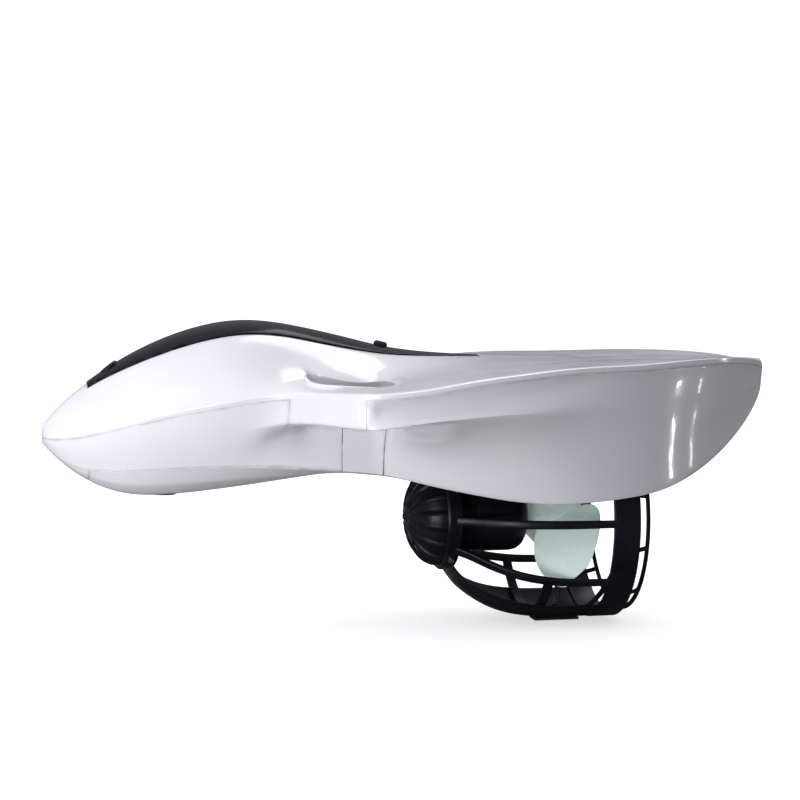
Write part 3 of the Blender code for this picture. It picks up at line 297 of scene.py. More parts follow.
def shell_name(x, line, side):
    """Which moulded piece covers the patch behind station x and below a line."""
    if line == CREST and COVER_FRONT <= x < COVER_REAR:
        return "top_cover"
    if line < RIM_SIDE:
        return "upper_shell"
    if line < LIP and HANDLE_FRONT <= x < SEAM_FRONT:
        return "upper_shell"
    if line == LIP and HANDLE_FRONT <= x < HOLE_REAR:
        return "grip_lower_left" if side < 0 else "grip_lower_right"
    if line < LIP:
        return "nose_lower_shell" if x < HANDLE_FRONT else "rear_hull"
    if line < WALL_TOP:
        return "nose_lower_shell" if x < HOLE_REAR else "rear_hull"
    if SEAM_FRONT <= x < HOLE_REAR:
        return "waist_band"
    if line == WALL_TOP:
        return "nose_lower_shell" if x < SEAM_FRONT else "rear_hull"
    if x < COVER_FRONT:
        return "nose_lower_shell"
    if x < SEAM_FRONT:
        return "belly_pan"
    if line == EDGE or x < BAY_FRONT or x >= BAY_REAR:
        return "rear_hull"
    return "thruster_bay_liner"


def cage_points():
    """The points of the coarse cage, and their places in the list by station, line and side."""
    points, index = [], {}
    for i, x in enumerate(STATIONS):
        for line, (y, z) in enumerate(section(x)):
            for side in SIDES:
                if line in (CREST, BOTTOM) and side == 1:
                    index[i, line, 1] = index[i, line, -1]
                    continue
                index[i, line, side] = len(points)
                points.append((x, side * y, z))
    return points, index


def body_cage():
    """The coarse cage of the whole body: points, faces, the piece of each face, and creases."""
    points, index = cage_points()
    faces, names, creases = [], [], {}
    last = len(STATIONS) - 1
    first_open, end_open = STATIONS.index(HOLE_FRONT), STATIONS.index(HOLE_REAR)

    def patch(name, *corners):
        corners = [index[c] for c in corners]
        faces.append([c for k, c in enumerate(corners) if c not in corners[:k]])
        names.append(name)

    def strip(name, i, line, under, side):
        patch(name, (i, line, side), (i + 1, line, side), (i + 1, under, side), (i, under, side))

    def crease(sharpness, start, end):
        creases[tuple(sorted((index[start], index[end])))] = sharpness

    for i, x in enumerate(STATIONS[:-1]):
        hole = first_open <= i < end_open
        for side in SIDES:
            for line in range(BOTTOM):
                if not (hole and line in (WAIST, GRIP_UNDER)):
                    strip(shell_name(x, line, side), i, line, line + 1, side)
            if hole:
                strip("upper_shell", i, WAIST, WALL_TOP, side)
                strip("upper_shell", i, GRIP_IN, GRIP_UNDER, side)
    for i in (first_open, end_open):
        for side in SIDES:
            patch("upper_shell", *[(i, line, side) for line in (WAIST, GRIP_IN, GRIP_UNDER, WALL_TOP)])
    for i in (0, last):
        for line in range(BOTTOM):
            name = shell_name(STATIONS[i], line, 1)
            patch(name, (i, line, -1), (i, line + 1, -1), (i, line + 1, 1), (i, line, 1))
    for side in SIDES:
        for line, sharpness in CREASES.items():
            for i in range(last):
                crease(sharpness, (i, line, side), (i + 1, line, side))
        for line in (WAIST, GRIP_IN):
            for i in range(first_open, end_open):
                crease(HOLE_CREASE, (i, line, side), (i + 1, line, side))
        for i in (first_open, end_open):
            crease(HOLE_CREASE, (i, WAIST, side), (i, GRIP_IN, side))
    return points, faces, names, creases


def turn_out(bm):
    """Turns the faces of a closed form to face out."""
    bmesh.ops.recalc_face_normals(bm, faces=bm.faces)
    if bm.calc_volume(signed=True) < 0:
        bmesh.ops.reverse_faces(bm, faces=bm.faces)


def facing_out(points, faces):
    """The faces, each turned to face out."""
    bm = bmesh.new()
    verts = [bm.verts.new(p) for p in points]
    for face in faces:
        bm.faces.new([verts[k] for k in face])
    turn_out(bm)
    bm.verts.index_update()
    turned = [[v.index for v in face.verts] for face in bm.faces]
    bm.free()
    return turned


# ---- mesh tools --------------------------------------------------------------------------


def linked(name, data):
    """A new object in the scene."""
    obj = bpy.data.objects.new(name, data)
    bpy.context.scene.collection.objects.link(obj)
    return obj


def raw_mesh(name, points, faces):
    """A mesh from points in millimetres."""
    mesh = bpy.data.meshes.new(name)
    mesh.from_pydata((np.asarray(points, float) * MM).tolist(), [], [[int(k) for k in f] for f in faces])
    return mesh


def close(mesh):
    """Merges the doubles of a mesh and turns its faces out."""
    bm = bmesh.new()
    bm.from_mesh(mesh)
    bmesh.ops.remove_doubles(bm, verts=bm.verts, dist=1e-6)
    turn_out(bm)
    bm.to_mesh(mesh)
    bm.free()


def add_piece(name, points, faces, look, body, *nodes, sharp=SHARP, wear=None):
    """A closed mesh from points in millimetres, on its body, standing for the CAD nodes."""
    mesh = raw_mesh(name, points, faces)
    if wear is not None:
        mesh.attributes.new("wear", "FLOAT", "POINT").data.foreach_set("value", wear)
    close(mesh)
    mesh.materials.append(LOOKS[look])
    mesh.shade_smooth()
    mesh.set_sharp_from_angle(angle=math.radians(sharp))
    obj = linked(name, mesh)
    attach(obj, body)
    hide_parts(*nodes)
    return obj


def merged(*parts):
    """Several (points, faces) as one."""
    points, faces = [], []
    for own_points, own_faces in parts:
        start = len(points)
        points.extend(tuple(p) for p in own_points)
        faces.extend([k + start for k in face] for face in own_faces)
    return points, faces


def bored(obj, points, faces):
    """Cuts a closed form out of a piece, for good."""
    mesh = raw_mesh("tool", points, faces)
    close(mesh)
    tool = linked("tool", mesh)
    cut = obj.modifiers.new("bore", "BOOLEAN")
    cut.operation = "DIFFERENCE"
    cut.solver = "EXACT"
    cut.object = tool
    bpy.context.view_layer.update()
    graph = bpy.context.evaluated_depsgraph_get()
    result = bpy.data.meshes.new_from_object(obj.evaluated_get(graph))
    obj.modifiers.clear()
    obj.data = result
    bpy.data.objects.remove(tool, do_unlink=True)
    result.shade_smooth()
    result.set_sharp_from_angle(angle=math.radians(SHARP))


def filleted(profile, radius, steps=4):
    """A closed outline with its corners rounded off, over at most 0.45 of each side."""
    made = []
    profile = np.array(profile, float)
    for before, corner, after in zip(np.roll(profile, 1, 0), profile, np.roll(profile, -1, 0)):
        back, ahead = before - corner, after - corner
        reach = min(radius, np.linalg.norm(back) * 0.45, np.linalg.norm(ahead) * 0.45)
        start, end = corner + unit(back) * reach, corner + unit(ahead) * reach
        for t in np.linspace(0, 1, steps + 1):
            made.append((1 - t) ** 2 * start + 2 * t * (1 - t) * corner + t * t * end)
    return made


def ring_faces(rings, size, closed=False):
    """Four-sided faces between rings of points that follow each other in a list."""
    faces = []
    for k in range(rings if closed else rings - 1):
        near, far = size * k, size * ((k + 1) % rings)
        for n in range(size):
            m = (n + 1) % size
            faces.append([near + n, near + m, far + m, far + n])
    return faces


def revolved(profile, segments=96, centre=(0, 0, 0), axis=(1, 0, 0), start=0.0, end=360.0):
    """A closed outline of (along, radius), turned about an axis. Angle 0 is +Y and 90 is +Z."""
    along = Vector(axis).normalized()
    side = Vector((0, 1, 0)) if abs(along.y) < 0.9 else Vector((1, 0, 0))
    side = (side - along * side.dot(along)).normalized()
    up = along.cross(side)
    whole = end - start >= 360
    count = segments if whole else segments + 1
    profile = np.array(profile, float)
    points = []
    for k in range(count):
        angle = math.radians(start + (end - start) * k / segments)
        out = np.array(math.cos(angle) * side + math.sin(angle) * up)
        points.extend(np.array(centre) + profile[:, :1] * np.array(along) + profile[:, 1:] * out)
    size = len(profile)
    faces = ring_faces(count, size, whole)
    if not whole:
        faces += [list(range(size)), [size * segments + c for c in reversed(range(size))]]
    return points, faces


def smooth_path(stops, per=8):
    """Points along a smooth curve through the stops, any number of columns."""
    stops = np.array(stops, float)
    padded = np.vstack([2 * stops[0] - stops[1], stops, 2 * stops[-1] - stops[-2]])
    made = []
    for k in range(1, len(stops)):
        a, b, c, d = padded[k - 1 : k + 3]
        square, cube = 2 * a - 5 * b + 4 * c - d, 3 * b - a - 3 * c + d
        for t in np.arange(per) / per:
            made.append(0.5 * (2 * b + (c - a) * t + square * t * t + cube * t ** 3))
    made.append(stops[-1])
    return np.array(made)


def bar(path, across, half_wide, half_high, around=20, power=3.2):
    """A bar with a rounded section along a path. across is one direction or one per point."""
    path = np.array(path, float)
    count = len(path)
    across = np.broadcast_to(np.array(across, float), (count, 3))
    half_wide = np.broadcast_to(np.array(half_wide, float), (count,))
    half_high = np.broadcast_to(np.array(half_high, float), (count,))
    ahead = unit(np.gradient(path, axis=0))
    wide = unit(across - ahead * (across * ahead).sum(1)[:, None])
    high = np.cross(ahead, wide)
    angles = 2 * np.pi * np.arange(around) / around
    c = np.sign(np.cos(angles)) * np.abs(np.cos(angles)) ** (2 / power)
    s = np.sign(np.sin(angles)) * np.abs(np.sin(angles)) ** (2 / power)
    points = []
    for k in range(count):
        sideways = np.outer(c * half_wide[k], wide[k])
        points.extend(path[k] + sideways + np.outer(s * half_high[k], high[k]))
    faces = ring_faces(count, around)
    faces += [list(range(around)), [around * (count - 1) + n for n in reversed(range(around))]]
    return points, faces


# ---- materials ---------------------------------------------------------------------------


class Recipe:
    """A small helper that builds one node-based material."""

    def __init__(self, name):
        self.material = bpy.data.materials.new(name)
        self.material.use_nodes = True
        self.tree = self.material.node_tree
        self.shader = self.tree.nodes["Principled BSDF"]
        self.place = self.tree.nodes.new("ShaderNodeTexCoord").outputs["Object"]

    def feed(self, socket, value):
        if isinstance(value, bpy.types.NodeSocket):
            self.tree.links.new(value, socket)
        else:
            socket.default_value = value

    def node(self, kind, output, inputs, **settings):
        """A new node with its settings and inputs; returns one of its outputs."""
        made = self.tree.nodes.new(kind)
        for key, value in settings.items():
            setattr(made, key, value)
        for key, value in inputs.items():
            self.feed(made.inputs[key], value)
        return made.outputs[output]

    def scaled(self, factors):
        """Object coordinates stretched along the axes."""
        return self.node("ShaderNodeMapping", "Vector", {"Vector": self.place, "Scale": factors})

    def noise(self, scale, detail=3.0, roughness=0.55, vector=None, distortion=0.0):
        return self.node("ShaderNodeTexNoise", "Fac", {
            "Vector": vector or self.place, "Scale": scale, "Detail": detail,
            "Roughness": roughness, "Distortion": distortion})

    def cells(self, scale, feature="F1"):
        return self.node("ShaderNodeTexVoronoi", "Distance",
                         {"Vector": self.place, "Scale": scale}, feature=feature)

    def bands(self, scale, distortion=0.0):
        return self.node("ShaderNodeTexWave", "Fac", {
            "Vector": self.place, "Scale": scale, "Distortion": distortion, "Detail Scale": 3.0})

    def spread(self, value, low, high, to_low=0.0, to_high=1.0):
        return self.node("ShaderNodeMapRange", "Result", {
            "Value": value, "From Min": low, "From Max": high, "To Min": to_low, "To Max": to_high})

    def mixed(self, share, first, second):
        first, second = (c if isinstance(c, bpy.types.NodeSocket) else (*c, 1.0) for c in (first, second))
        return self.node("ShaderNodeMix", 2, {0: share, 6: first, 7: second}, data_type="RGBA")

    def sum(self, first, second):
        return self.node("ShaderNodeMath", "Value", {0: first, 1: second})

    def times(self, first, second):
        return self.node("ShaderNodeMath", "Value", {0: first, 1: second}, operation="MULTIPLY")

    def over(self, tone, mask, share, colour):
        """The tone with a share of another colour where the mask is."""
        return self.mixed(self.times(mask, share), tone, colour)

    def bump(self, height, strength, distance, under=None):
        inputs = {"Height": height, "Strength": strength, "Distance": distance}
        if under is not None:
            inputs["Normal"] = under
        return self.node("ShaderNodeBump", "Normal", inputs)

    def worn(self):
        """1 at the edge of a shell, and 0 on its face."""
        return self.node("ShaderNodeAttribute", "Fac", {}, attribute_name="wear")

    def done(self, **values):
        for key, value in values.items():
            self.feed(self.shader.inputs[key.replace("_", " ")], value)
        return self.material


def gloss_white():
    r = Recipe("gloss_white")
    cloud = r.spread(r.noise(7.0, 2.0), 0.35, 0.65)
    tone = r.mixed(cloud, (0.80, 0.80, 0.835), (0.84, 0.84, 0.865))
    specks = r.spread(r.cells(420.0), 0.0, 0.045, 1.0, 0.0)
    tone = r.over(tone, specks, 0.25, (0.60, 0.59, 0.60))
    grime = r.times(r.worn(), r.spread(r.noise(60.0, 4.0), 0.42, 0.62, 0.15, 0.9))
    tone = r.over(tone, grime, 0.55, (0.50, 0.49, 0.51))
    hairlines = r.spread(r.noise(900.0, 2.0, 0.6, r.scaled((0.02, 1.0, 1.0))), 0.62, 0.72)
    rough = r.sum(r.spread(r.noise(26.0, 4.0), 0.3, 0.7, 0.13, 0.22),
                  r.times(hairlines, 0.05))
    peel = r.bump(r.noise(260.0, 2.0), 0.035, 0.0006)
    sink = r.bump(r.noise(22.0, 1.0), 0.03, 0.004, peel)
    return r.done(Base_Color=tone, Roughness=rough, Normal=sink, Coat_Weight=0.35,
                  Coat_Roughness=0.05, Specular_IOR_Level=0.5)


def gloss_black():
    r = Recipe("gloss_black")
    cloud = r.spread(r.noise(30.0, 4.0), 0.35, 0.65)
    tone = r.mixed(cloud, (0.0030, 0.0028, 0.0062), (0.0050, 0.0046, 0.0095))
    dust = r.spread(r.cells(900.0), 0.0, 0.05, 1.0, 0.0)
    tone = r.over(tone, dust, 0.2, (0.12, 0.12, 0.13))
    grime = r.times(r.worn(), r.spread(r.noise(90.0, 3.0), 0.45, 0.6))
    tone = r.over(tone, grime, 0.3, (0.05, 0.05, 0.055))
    lines = r.spread(r.noise(700.0, 2.0, 0.6, r.scaled((0.03, 1.0, 1.0))), 0.6, 0.75)
    rough = r.sum(r.spread(cloud, 0.0, 1.0, 0.10, 0.17), r.times(lines, 0.08))
    peel = r.bump(r.noise(240.0, 2.0), 0.03, 0.0005)
    return r.done(Base_Color=tone, Roughness=rough, Normal=peel, Coat_Weight=0.04,
                  Coat_Roughness=0.06, Specular_IOR_Level=0.09, IOR=1.36,
                  Specular_Tint=(0.92, 0.91, 1.0, 1.0))


def satin_black(name="satin_black", dark=(0.0034, 0.0033, 0.0050), light=(0.0070, 0.0068, 0.0105),
                rough=(0.28, 0.42), grain=0.22, shine_level=0.2):
    r = Recipe(name)
    cloud = r.spread(r.noise(34.0, 5.0), 0.35, 0.65)
    tone = r.mixed(cloud, dark, light)
    flow = r.spread(r.noise(60.0, 2.0, 0.5, r.scaled((0.2, 1.0, 1.0))), 0.45, 0.7)
    tone = r.over(tone, flow, 0.35, tuple(1.7 * c for c in light))
    salt = r.spread(r.noise(420.0, 3.0, 0.7), 0.68, 0.76)
    tone = r.over(tone, salt, 0.25, (0.10, 0.10, 0.105))
    shine = r.sum(r.spread(cloud, 0.0, 1.0, *rough), r.times(salt, 0.2))
    fine = r.bump(r.noise(1500.0, 2.0, 0.6), grain, 0.00012)
    coarse = r.bump(r.noise(90.0, 2.0), 0.05, 0.0012, fine)
    return r.done(Base_Color=tone, Roughness=shine, Normal=coarse, Specular_IOR_Level=shine_level,
                  Specular_Tint=(0.92, 0.9, 1.0, 1.0))


def rubber():
    r = Recipe("rubber_grain")
    cloud = r.spread(r.noise(50.0, 5.0), 0.35, 0.65)
    tone = r.mixed(cloud, (0.012, 0.012, 0.013), (0.024, 0.024, 0.026))
    dust = r.spread(r.noise(240.0, 4.0, 0.7), 0.58, 0.72)
    tone = r.over(tone, dust, 0.3, (0.07, 0.068, 0.065))
    fine = r.bump(r.cells(1300.0), 0.35, 0.00015)
    return r.done(Base_Color=tone, Roughness=r.spread(cloud, 0, 1, 0.6, 0.85), Normal=fine)


def mint():
    r = Recipe("mint_plastic")
    cloud = r.spread(r.noise(14.0, 2.0, 0.5), 0.3, 0.7)
    tone = r.mixed(cloud, (0.70, 0.87, 0.82), (0.80, 0.93, 0.88))
    flow = r.spread(r.noise(90.0, 3.0, 0.6, r.scaled((1.0, 0.25, 0.25)), 0.8), 0.5, 0.75)
    tone = r.over(tone, flow, 0.18, (0.88, 0.96, 0.93))
    scuff = r.spread(r.noise(380.0, 3.0, 0.7), 0.62, 0.75)
    rough = r.sum(r.spread(cloud, 0, 1, 0.2, 0.34), r.times(scuff, 0.2))
    wave = r.bump(r.noise(120.0, 2.0), 0.05, 0.001)
    # The emission is painted light: a faint glow in the plastic's own colour that brightens the shaded
    # propeller as if light shone through it.
    return r.done(Base_Color=tone, Roughness=rough, Normal=wave, Subsurface_Weight=0.35,
                  Subsurface_Radius=(0.8, 1.0, 0.95), Subsurface_Scale=0.008,
                  Transmission_Weight=0.12, IOR=1.45, Emission_Color=tone, Emission_Strength=0.12)


def metal(name, dark, light, stretch, scale=500.0, rough=(0.2, 0.36)):
    r = Recipe(name)
    brushed = r.noise(scale, 4.0, 0.6, r.scaled(stretch))
    tone = r.mixed(r.spread(brushed, 0.3, 0.7), dark, light)
    stain = r.spread(r.noise(45.0, 4.0), 0.52, 0.7)
    tone = r.over(tone, stain, 0.25, tuple(0.55 * c for c in dark))
    lines = r.bump(brushed, 0.15, 0.0001)
    shine = r.sum(r.spread(brushed, 0.3, 0.7, *rough), r.times(stain, 0.12))
    return r.done(Base_Color=tone, Roughness=shine, Metallic=1.0, Normal=lines)


def windings():
    r = Recipe("copper_windings")
    turns = r.bands(220.0, 0.6)
    tone = r.mixed(r.spread(turns, 0.2, 0.8), (0.30, 0.10, 0.035), (0.78, 0.36, 0.16))
    varnish = r.spread(r.noise(80.0, 4.0), 0.4, 0.7)
    tone = r.over(tone, varnish, 0.4, (0.42, 0.14, 0.04))
    return r.done(Base_Color=tone, Roughness=r.spread(varnish, 0, 1, 0.22, 0.4), Metallic=0.9,
                  Normal=r.bump(turns, 0.8, 0.0006), Coat_Weight=0.4)


def circuit_board():
    r = Recipe("circuit_board")
    tracks = r.spread(r.cells(160.0, "DISTANCE_TO_EDGE"), 0.03, 0.07)
    tone = r.mixed(tracks, (0.06, 0.30, 0.10), (0.012, 0.11, 0.045))
    pads = r.spread(r.cells(330.0), 0.12, 0.17, 1.0, 0.0)
    tone = r.over(tone, pads, 0.8, (0.62, 0.55, 0.38))
    return r.done(Base_Color=tone, Roughness=r.spread(pads, 0, 1, 0.45, 0.22),
                  Normal=r.bump(pads, 0.4, 0.0003), Metallic=r.times(pads, 0.8))


def shrink_wrap():
    r = Recipe("shrink_wrap")
    cells = r.spread(r.bands(27.0), 0.0, 0.35)
    tone = r.mixed(cells, (0.012, 0.035, 0.12), (0.035, 0.10, 0.30))
    creases = r.noise(60.0, 5.0, 0.6, r.scaled((1.0, 0.25, 1.0)), 0.6)
    tone = r.mixed(r.spread(creases, 0.55, 0.75), tone, (0.08, 0.17, 0.42))
    return r.done(Base_Color=tone, Roughness=r.spread(creases, 0.3, 0.7, 0.22, 0.4),
                  Normal=r.bump(r.sum(cells, creases), 0.5, 0.0012))


def closed_foam():
    r = Recipe("closed_foam")
    beads = r.cells(240.0)
    tone = r.mixed(r.spread(beads, 0.1, 0.6), (0.82, 0.81, 0.75), (0.58, 0.57, 0.51))
    return r.done(Base_Color=tone, Roughness=r.spread(beads, 0, 1, 0.8, 0.95),
                  Normal=r.bump(beads, 0.6, 0.001))


def cable_jacket():
    r = Recipe("cable_jacket")
    cloud = r.spread(r.noise(70.0, 4.0), 0.35, 0.65)
    tone = r.mixed(cloud, (0.52, 0.15, 0.018), (0.72, 0.25, 0.035))
    scuff = r.spread(r.noise(400.0, 3.0, 0.7), 0.6, 0.75)
    tone = r.over(tone, scuff, 0.3, (0.25, 0.10, 0.03))
    return r.done(Base_Color=tone, Roughness=r.spread(scuff, 0, 1, 0.38, 0.6),
                  Normal=r.bump(r.noise(900.0, 2.0), 0.12, 0.0001))


LOOKS = {
    "shell_white": gloss_white(),
    "cover_black": gloss_black(),
    "thruster_black": satin_black(),
    "dark_grey": satin_black("moulded_grey", (0.030, 0.031, 0.035),
                             (0.052, 0.053, 0.060), (0.42, 0.58), 0.3, 0.4),
    "rubber": rubber(),
    "propeller_mint": mint(),
    "steel": metal("brushed_steel", (0.40, 0.41, 0.43), (0.62, 0.63, 0.66), (0.04, 1.0, 1.0)),
    "copper": windings(),
    "aluminium": metal("cast_aluminium", (0.46, 0.47, 0.49), (0.66, 0.67, 0.69), (1, 1, 1), 160.0,
                       (0.34, 0.5)),
    "board_green": circuit_board(),
    "battery_blue": shrink_wrap(),
    "foam": closed_foam(),
    "cable_orange": cable_jacket(),
}


# ---- body shells -------------------------------------------------------------------------


def fine_body():
    """The smooth body: points, four-sided faces, the shell that owns each face, and its names."""
    points, faces, names, creases = body_cage()
    faces = facing_out(points, faces)
    owners = list(dict.fromkeys(names))
    mesh = bpy.data.meshes.new("cage")
    mesh.from_pydata(points, [], faces)
    for polygon, name in zip(mesh.polygons, names):
        polygon.material_index = owners.index(name)
    sharpness = mesh.attributes.new("crease_edge", "FLOAT", "EDGE")
    for edge in mesh.edges:
        sharpness.data[edge.index].value = creases.get(tuple(sorted(edge.vertices)), 0.0)
    cage = linked("cage", mesh)
    smoothing = cage.modifiers.new("smoothing", "SUBSURF")
    smoothing.levels = smoothing.render_levels = BODY_LEVELS
    bpy.context.view_layer.update()
    fine = cage.evaluated_get(bpy.context.evaluated_depsgraph_get()).to_mesh()
    smooth = np.empty(len(fine.vertices) * 3, np.float32)
    fine.vertices.foreach_get("co", smooth)
    smooth = smooth.reshape(-1, 3).astype(float)
    quads = np.empty(len(fine.loops), np.int32)
    fine.loops.foreach_get("vertex_index", quads)
    tags = np.empty(len(fine.polygons), np.int32)
    fine.polygons.foreach_get("material_index", tags)
    bpy.data.objects.remove(cage, do_unlink=True)
    low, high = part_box("upper_shell")
    cage_x = smooth[: len(points), 0].copy()
    smooth[:, 0] -= (cage_x.max() + cage_x.min()) / 2
    smooth[:, 0] *= (high.x - low.x) / MM / np.ptp(cage_x)
    return smooth, quads.reshape(-1, 4), tags, owners


def point_normals(points, quads):
    """The outward normal at each point of a mesh of four-sided faces."""
    corners = points[quads]
    across = np.cross(corners[:, 2] - corners[:, 0], corners[:, 3] - corners[:, 1])
    normals = np.zeros_like(points)
    for corner in range(4):
        np.add.at(normals, quads[:, corner], across)
    return unit(normals)


def seam_gaps(count, quads, tags, owners):
    """Half the gap at each point between two shells, in millimetres."""
    gaps = np.full(count, SEAM_GAP)
    for name, gap in WIDER_GAPS.items():
        gaps[quads[tags == owners.index(name)]] = gap
    return gaps


def inward_at(place, normal, border):
    """The points on a border, and at each the direction into the surface, square to the border."""
    start, end = border[:, 0], border[:, 1]
    along = unit(place[end] - place[start])
    inward = np.zeros_like(place)
    for own in (start, end):
        np.add.at(inward, own, np.cross(normal[own], along))
    ring = np.unique(border)
    inward[ring] -= normal[ring] * (inward[ring] * normal[ring]).sum(1)[:, None]
    length = np.maximum(np.linalg.norm(inward[ring], axis=1), 1e-6)
    inward[ring] *= (np.clip(2 / length, 1.0, MITRE) / length)[:, None]
    return ring, inward


def skin(points, quads, normals, gaps, rounding=0.45, lift=0.0, wall=1.6, reach=4.0, fade=None):
    """A shell with a wall: its edge is drawn back from the seam and rounded over.

    Between the two places in fade, along X, the lift and the rounding die away. The result is
    the points, the faces, and at each point how worn it is.
    """
    used, index = np.unique(quads, return_inverse=True)
    index = index.reshape(-1, 4)
    place, normal, gap = points[used].copy(), normals[used], gaps[used]
    count = len(used)
    rounding = np.full(count, rounding)
    lift = np.full(count, lift)
    if fade:
        share = np.clip((fade[1] - place[:, 0]) / (fade[1] - fade[0]), 0.08, 1.0)
        rounding, lift = rounding * share, lift * share
    edges = np.concatenate([index[:, [k, (k + 1) % 4]] for k in range(4)])
    forward, backward = edges[:, 0] * count + edges[:, 1], edges[:, 1] * count + edges[:, 0]
    border = edges[~np.isin(forward, backward)]
    ring, inward = inward_at(place, normal, border)
    tree = KDTree(len(ring))
    for k in ring:
        tree.insert(Vector(place[k]), int(k))
    tree.balance()
    moved = place.copy()
    wear = np.zeros(count)
    for k in range(count):
        _, nearest, distance = tree.find(Vector(place[k]))
        if distance < reach:
            pull = (gap[nearest] + rounding[nearest]) * (1 - distance / reach)
            moved[k] += pull * inward[nearest]
            wear[k] = max(0.0, 1 - distance / WEAR_REACH)
    moved += lift[:, None] * normal
    rounding = rounding[ring][:, None]
    ends = np.clip((np.abs(points[:, 0]).max() - np.abs(moved[:, 0])) / THIN_ENDS, 0.3, 1.0)
    depth = (wall * ends)[:, None]
    rows = [moved]
    base = moved[ring] - rounding * normal[ring]
    for turn in np.radians(EDGE_TURNS):
        rows.append(base + rounding * (math.cos(turn) * normal[ring] - math.sin(turn) * inward[ring]))
    rows.append(moved[ring] - rounding * inward[ring] - depth[ring] * normal[ring])
    rows.append(moved - depth * normal)
    starts = np.cumsum([0] + [len(r) for r in rows])
    row = {int(k): n for n, k in enumerate(ring)}
    bottom = {k: starts[5] + k for k in range(count)}
    bottom.update({k: starts[4] + n for k, n in row.items()})
    top = index.tolist()
    faces = top + [[bottom[k] for k in reversed(face)] for face in top]
    for a, b in border.tolist():
        upper = (a, b)
        for level in range(1, 5):
            lower = (starts[level] + row[a], starts[level] + row[b])
            faces.append([upper[1], upper[0], lower[0], lower[1]])
            upper = lower
    worn = np.concatenate([wear, np.ones(4 * len(ring)), np.zeros(count)])
    return np.vstack(rows), faces, worn


def add_body():
    """Every shell of the body, as a skin cut from one smooth surface."""
    points, quads, tags, owners = fine_body()
    normals = point_normals(points, quads)
    gaps = seam_gaps(len(points), quads, tags, owners)
    made = {}
    for name in owners:
        settings = COVER_EDGE if name == "top_cover" else {}
        places, faces, worn = skin(points, quads[tags == owners.index(name)], normals, gaps, **settings)
        used, index = np.unique(np.concatenate(faces), return_inverse=True)
        made[name] = add_piece(
            name + "_skin", places[used], index.reshape(-1, 4), SHELL_LOOKS.get(name, "shell_white"),
            BODY_OF.get(name, "hull"), name, wear=worn[used])
    return made


def open_latch(pan):
    """The round hole in the belly that the latch turns in."""
    centre = (LATCH_X, 0, curve_at(COURSES[BOTTOM], LATCH_X)[1] + LATCH_RISE)
    hole = [(-9, 0), (-9, LATCH_HOLE), (8, LATCH_HOLE), (8, 0)]
    bored(pan, *revolved(hole, 64, centre, (0, 0, 1)))


def crest_frame(x):
    """The point of the crest at x and the direction square to it."""
    before, here, after = (curve_at(COURSES[CREST], x + step)[1] for step in (-2, 0, 2))
    return Vector((x, 0, here)), Vector((before - after, 0, 4)).normalized()


def knob(profile, rounding, steps, segments, place, square):
    """A turned form whose outline starts and ends on its axis and has rounded corners."""
    outline = filleted(profile[1:-1], rounding, steps)
    return revolved([profile[0], *outline, profile[-1]], segments, place, square)


def add_socket():
    """The oval socket on the front slope of the cover, with a dark lens inside."""
    low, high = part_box("camera_socket")
    place, square = crest_frame((low.x + high.x) / 2 / MM - 1.0)
    place += 2.2 * square
    cup = [(-7, 0), (-7, 8.2), (-1, 8.2), (-1, 10.5), (0.9, 10.5), (1.6, 9.6), (1.2, 7.4)]
    cup += [(-3.6, 6.6), (-4.2, 5.4), (-4.4, 0)]
    lens = [(-4.6, 0), (-4.6, 4.6), (-3.7, 4.2), (-3.1, 3.0), (-2.9, 0)]
    shape = merged(knob(cup, 0.5, 3, 72, place, square), revolved(lens, 48, place, square))
    add_piece("camera_socket_fine", *shape, "thruster_black", "hull", "camera_socket")


def add_button(cover):
    """The button at the rear of the cover, and the hole that it sits in."""
    place, square = crest_frame(BUTTON_X)
    button = [(-8, 0), (-8, 5), (-3, 5), (-3, 7), (1.6, 7), (3.0, 6.2), (3.7, 4.6), (3.9, 3.0), (3.8, 0)]
    shape = knob(button, 0.7, 4, 64, place, square)
    add_piece("power_button_fine", *shape, "rubber", "button", "power_button")
    hole = [(-12, 0), (-12, BUTTON_HOLE), (9, BUTTON_HOLE), (9, 0)]
    bored(cover, *revolved(hole, 64, place, square))


# ---- thruster ----------------------------------------------------------------------------


def around_axis(x, radius, degrees):
    """A point about the thrust axis: 0 degrees is +Y, 90 is up."""
    angle = math.radians(degrees)
    return np.array((x, radius * math.cos(angle), AXIS_Z + radius * math.sin(angle)))


def outward(degrees):
    """The direction away from the thrust axis at an angle about it."""
    return around_axis(0, 1, degrees) - around_axis(0, 0, 0)


def turned(profile, segments, radius=0.0, **span):
    """An outline of (along, radius), turned about the thrust axis, with corners rounded if asked."""
    outline = filleted(profile, radius) if radius else profile
    return revolved(outline, segments, (0, 0, AXIS_Z), **span)


def box_outline(x_start, x_end, inner, outer):
    """The outline of a plain ring, between two places along X and two radii."""
    return [(x_start, inner), (x_start, outer), (x_end, outer), (x_end, inner)]


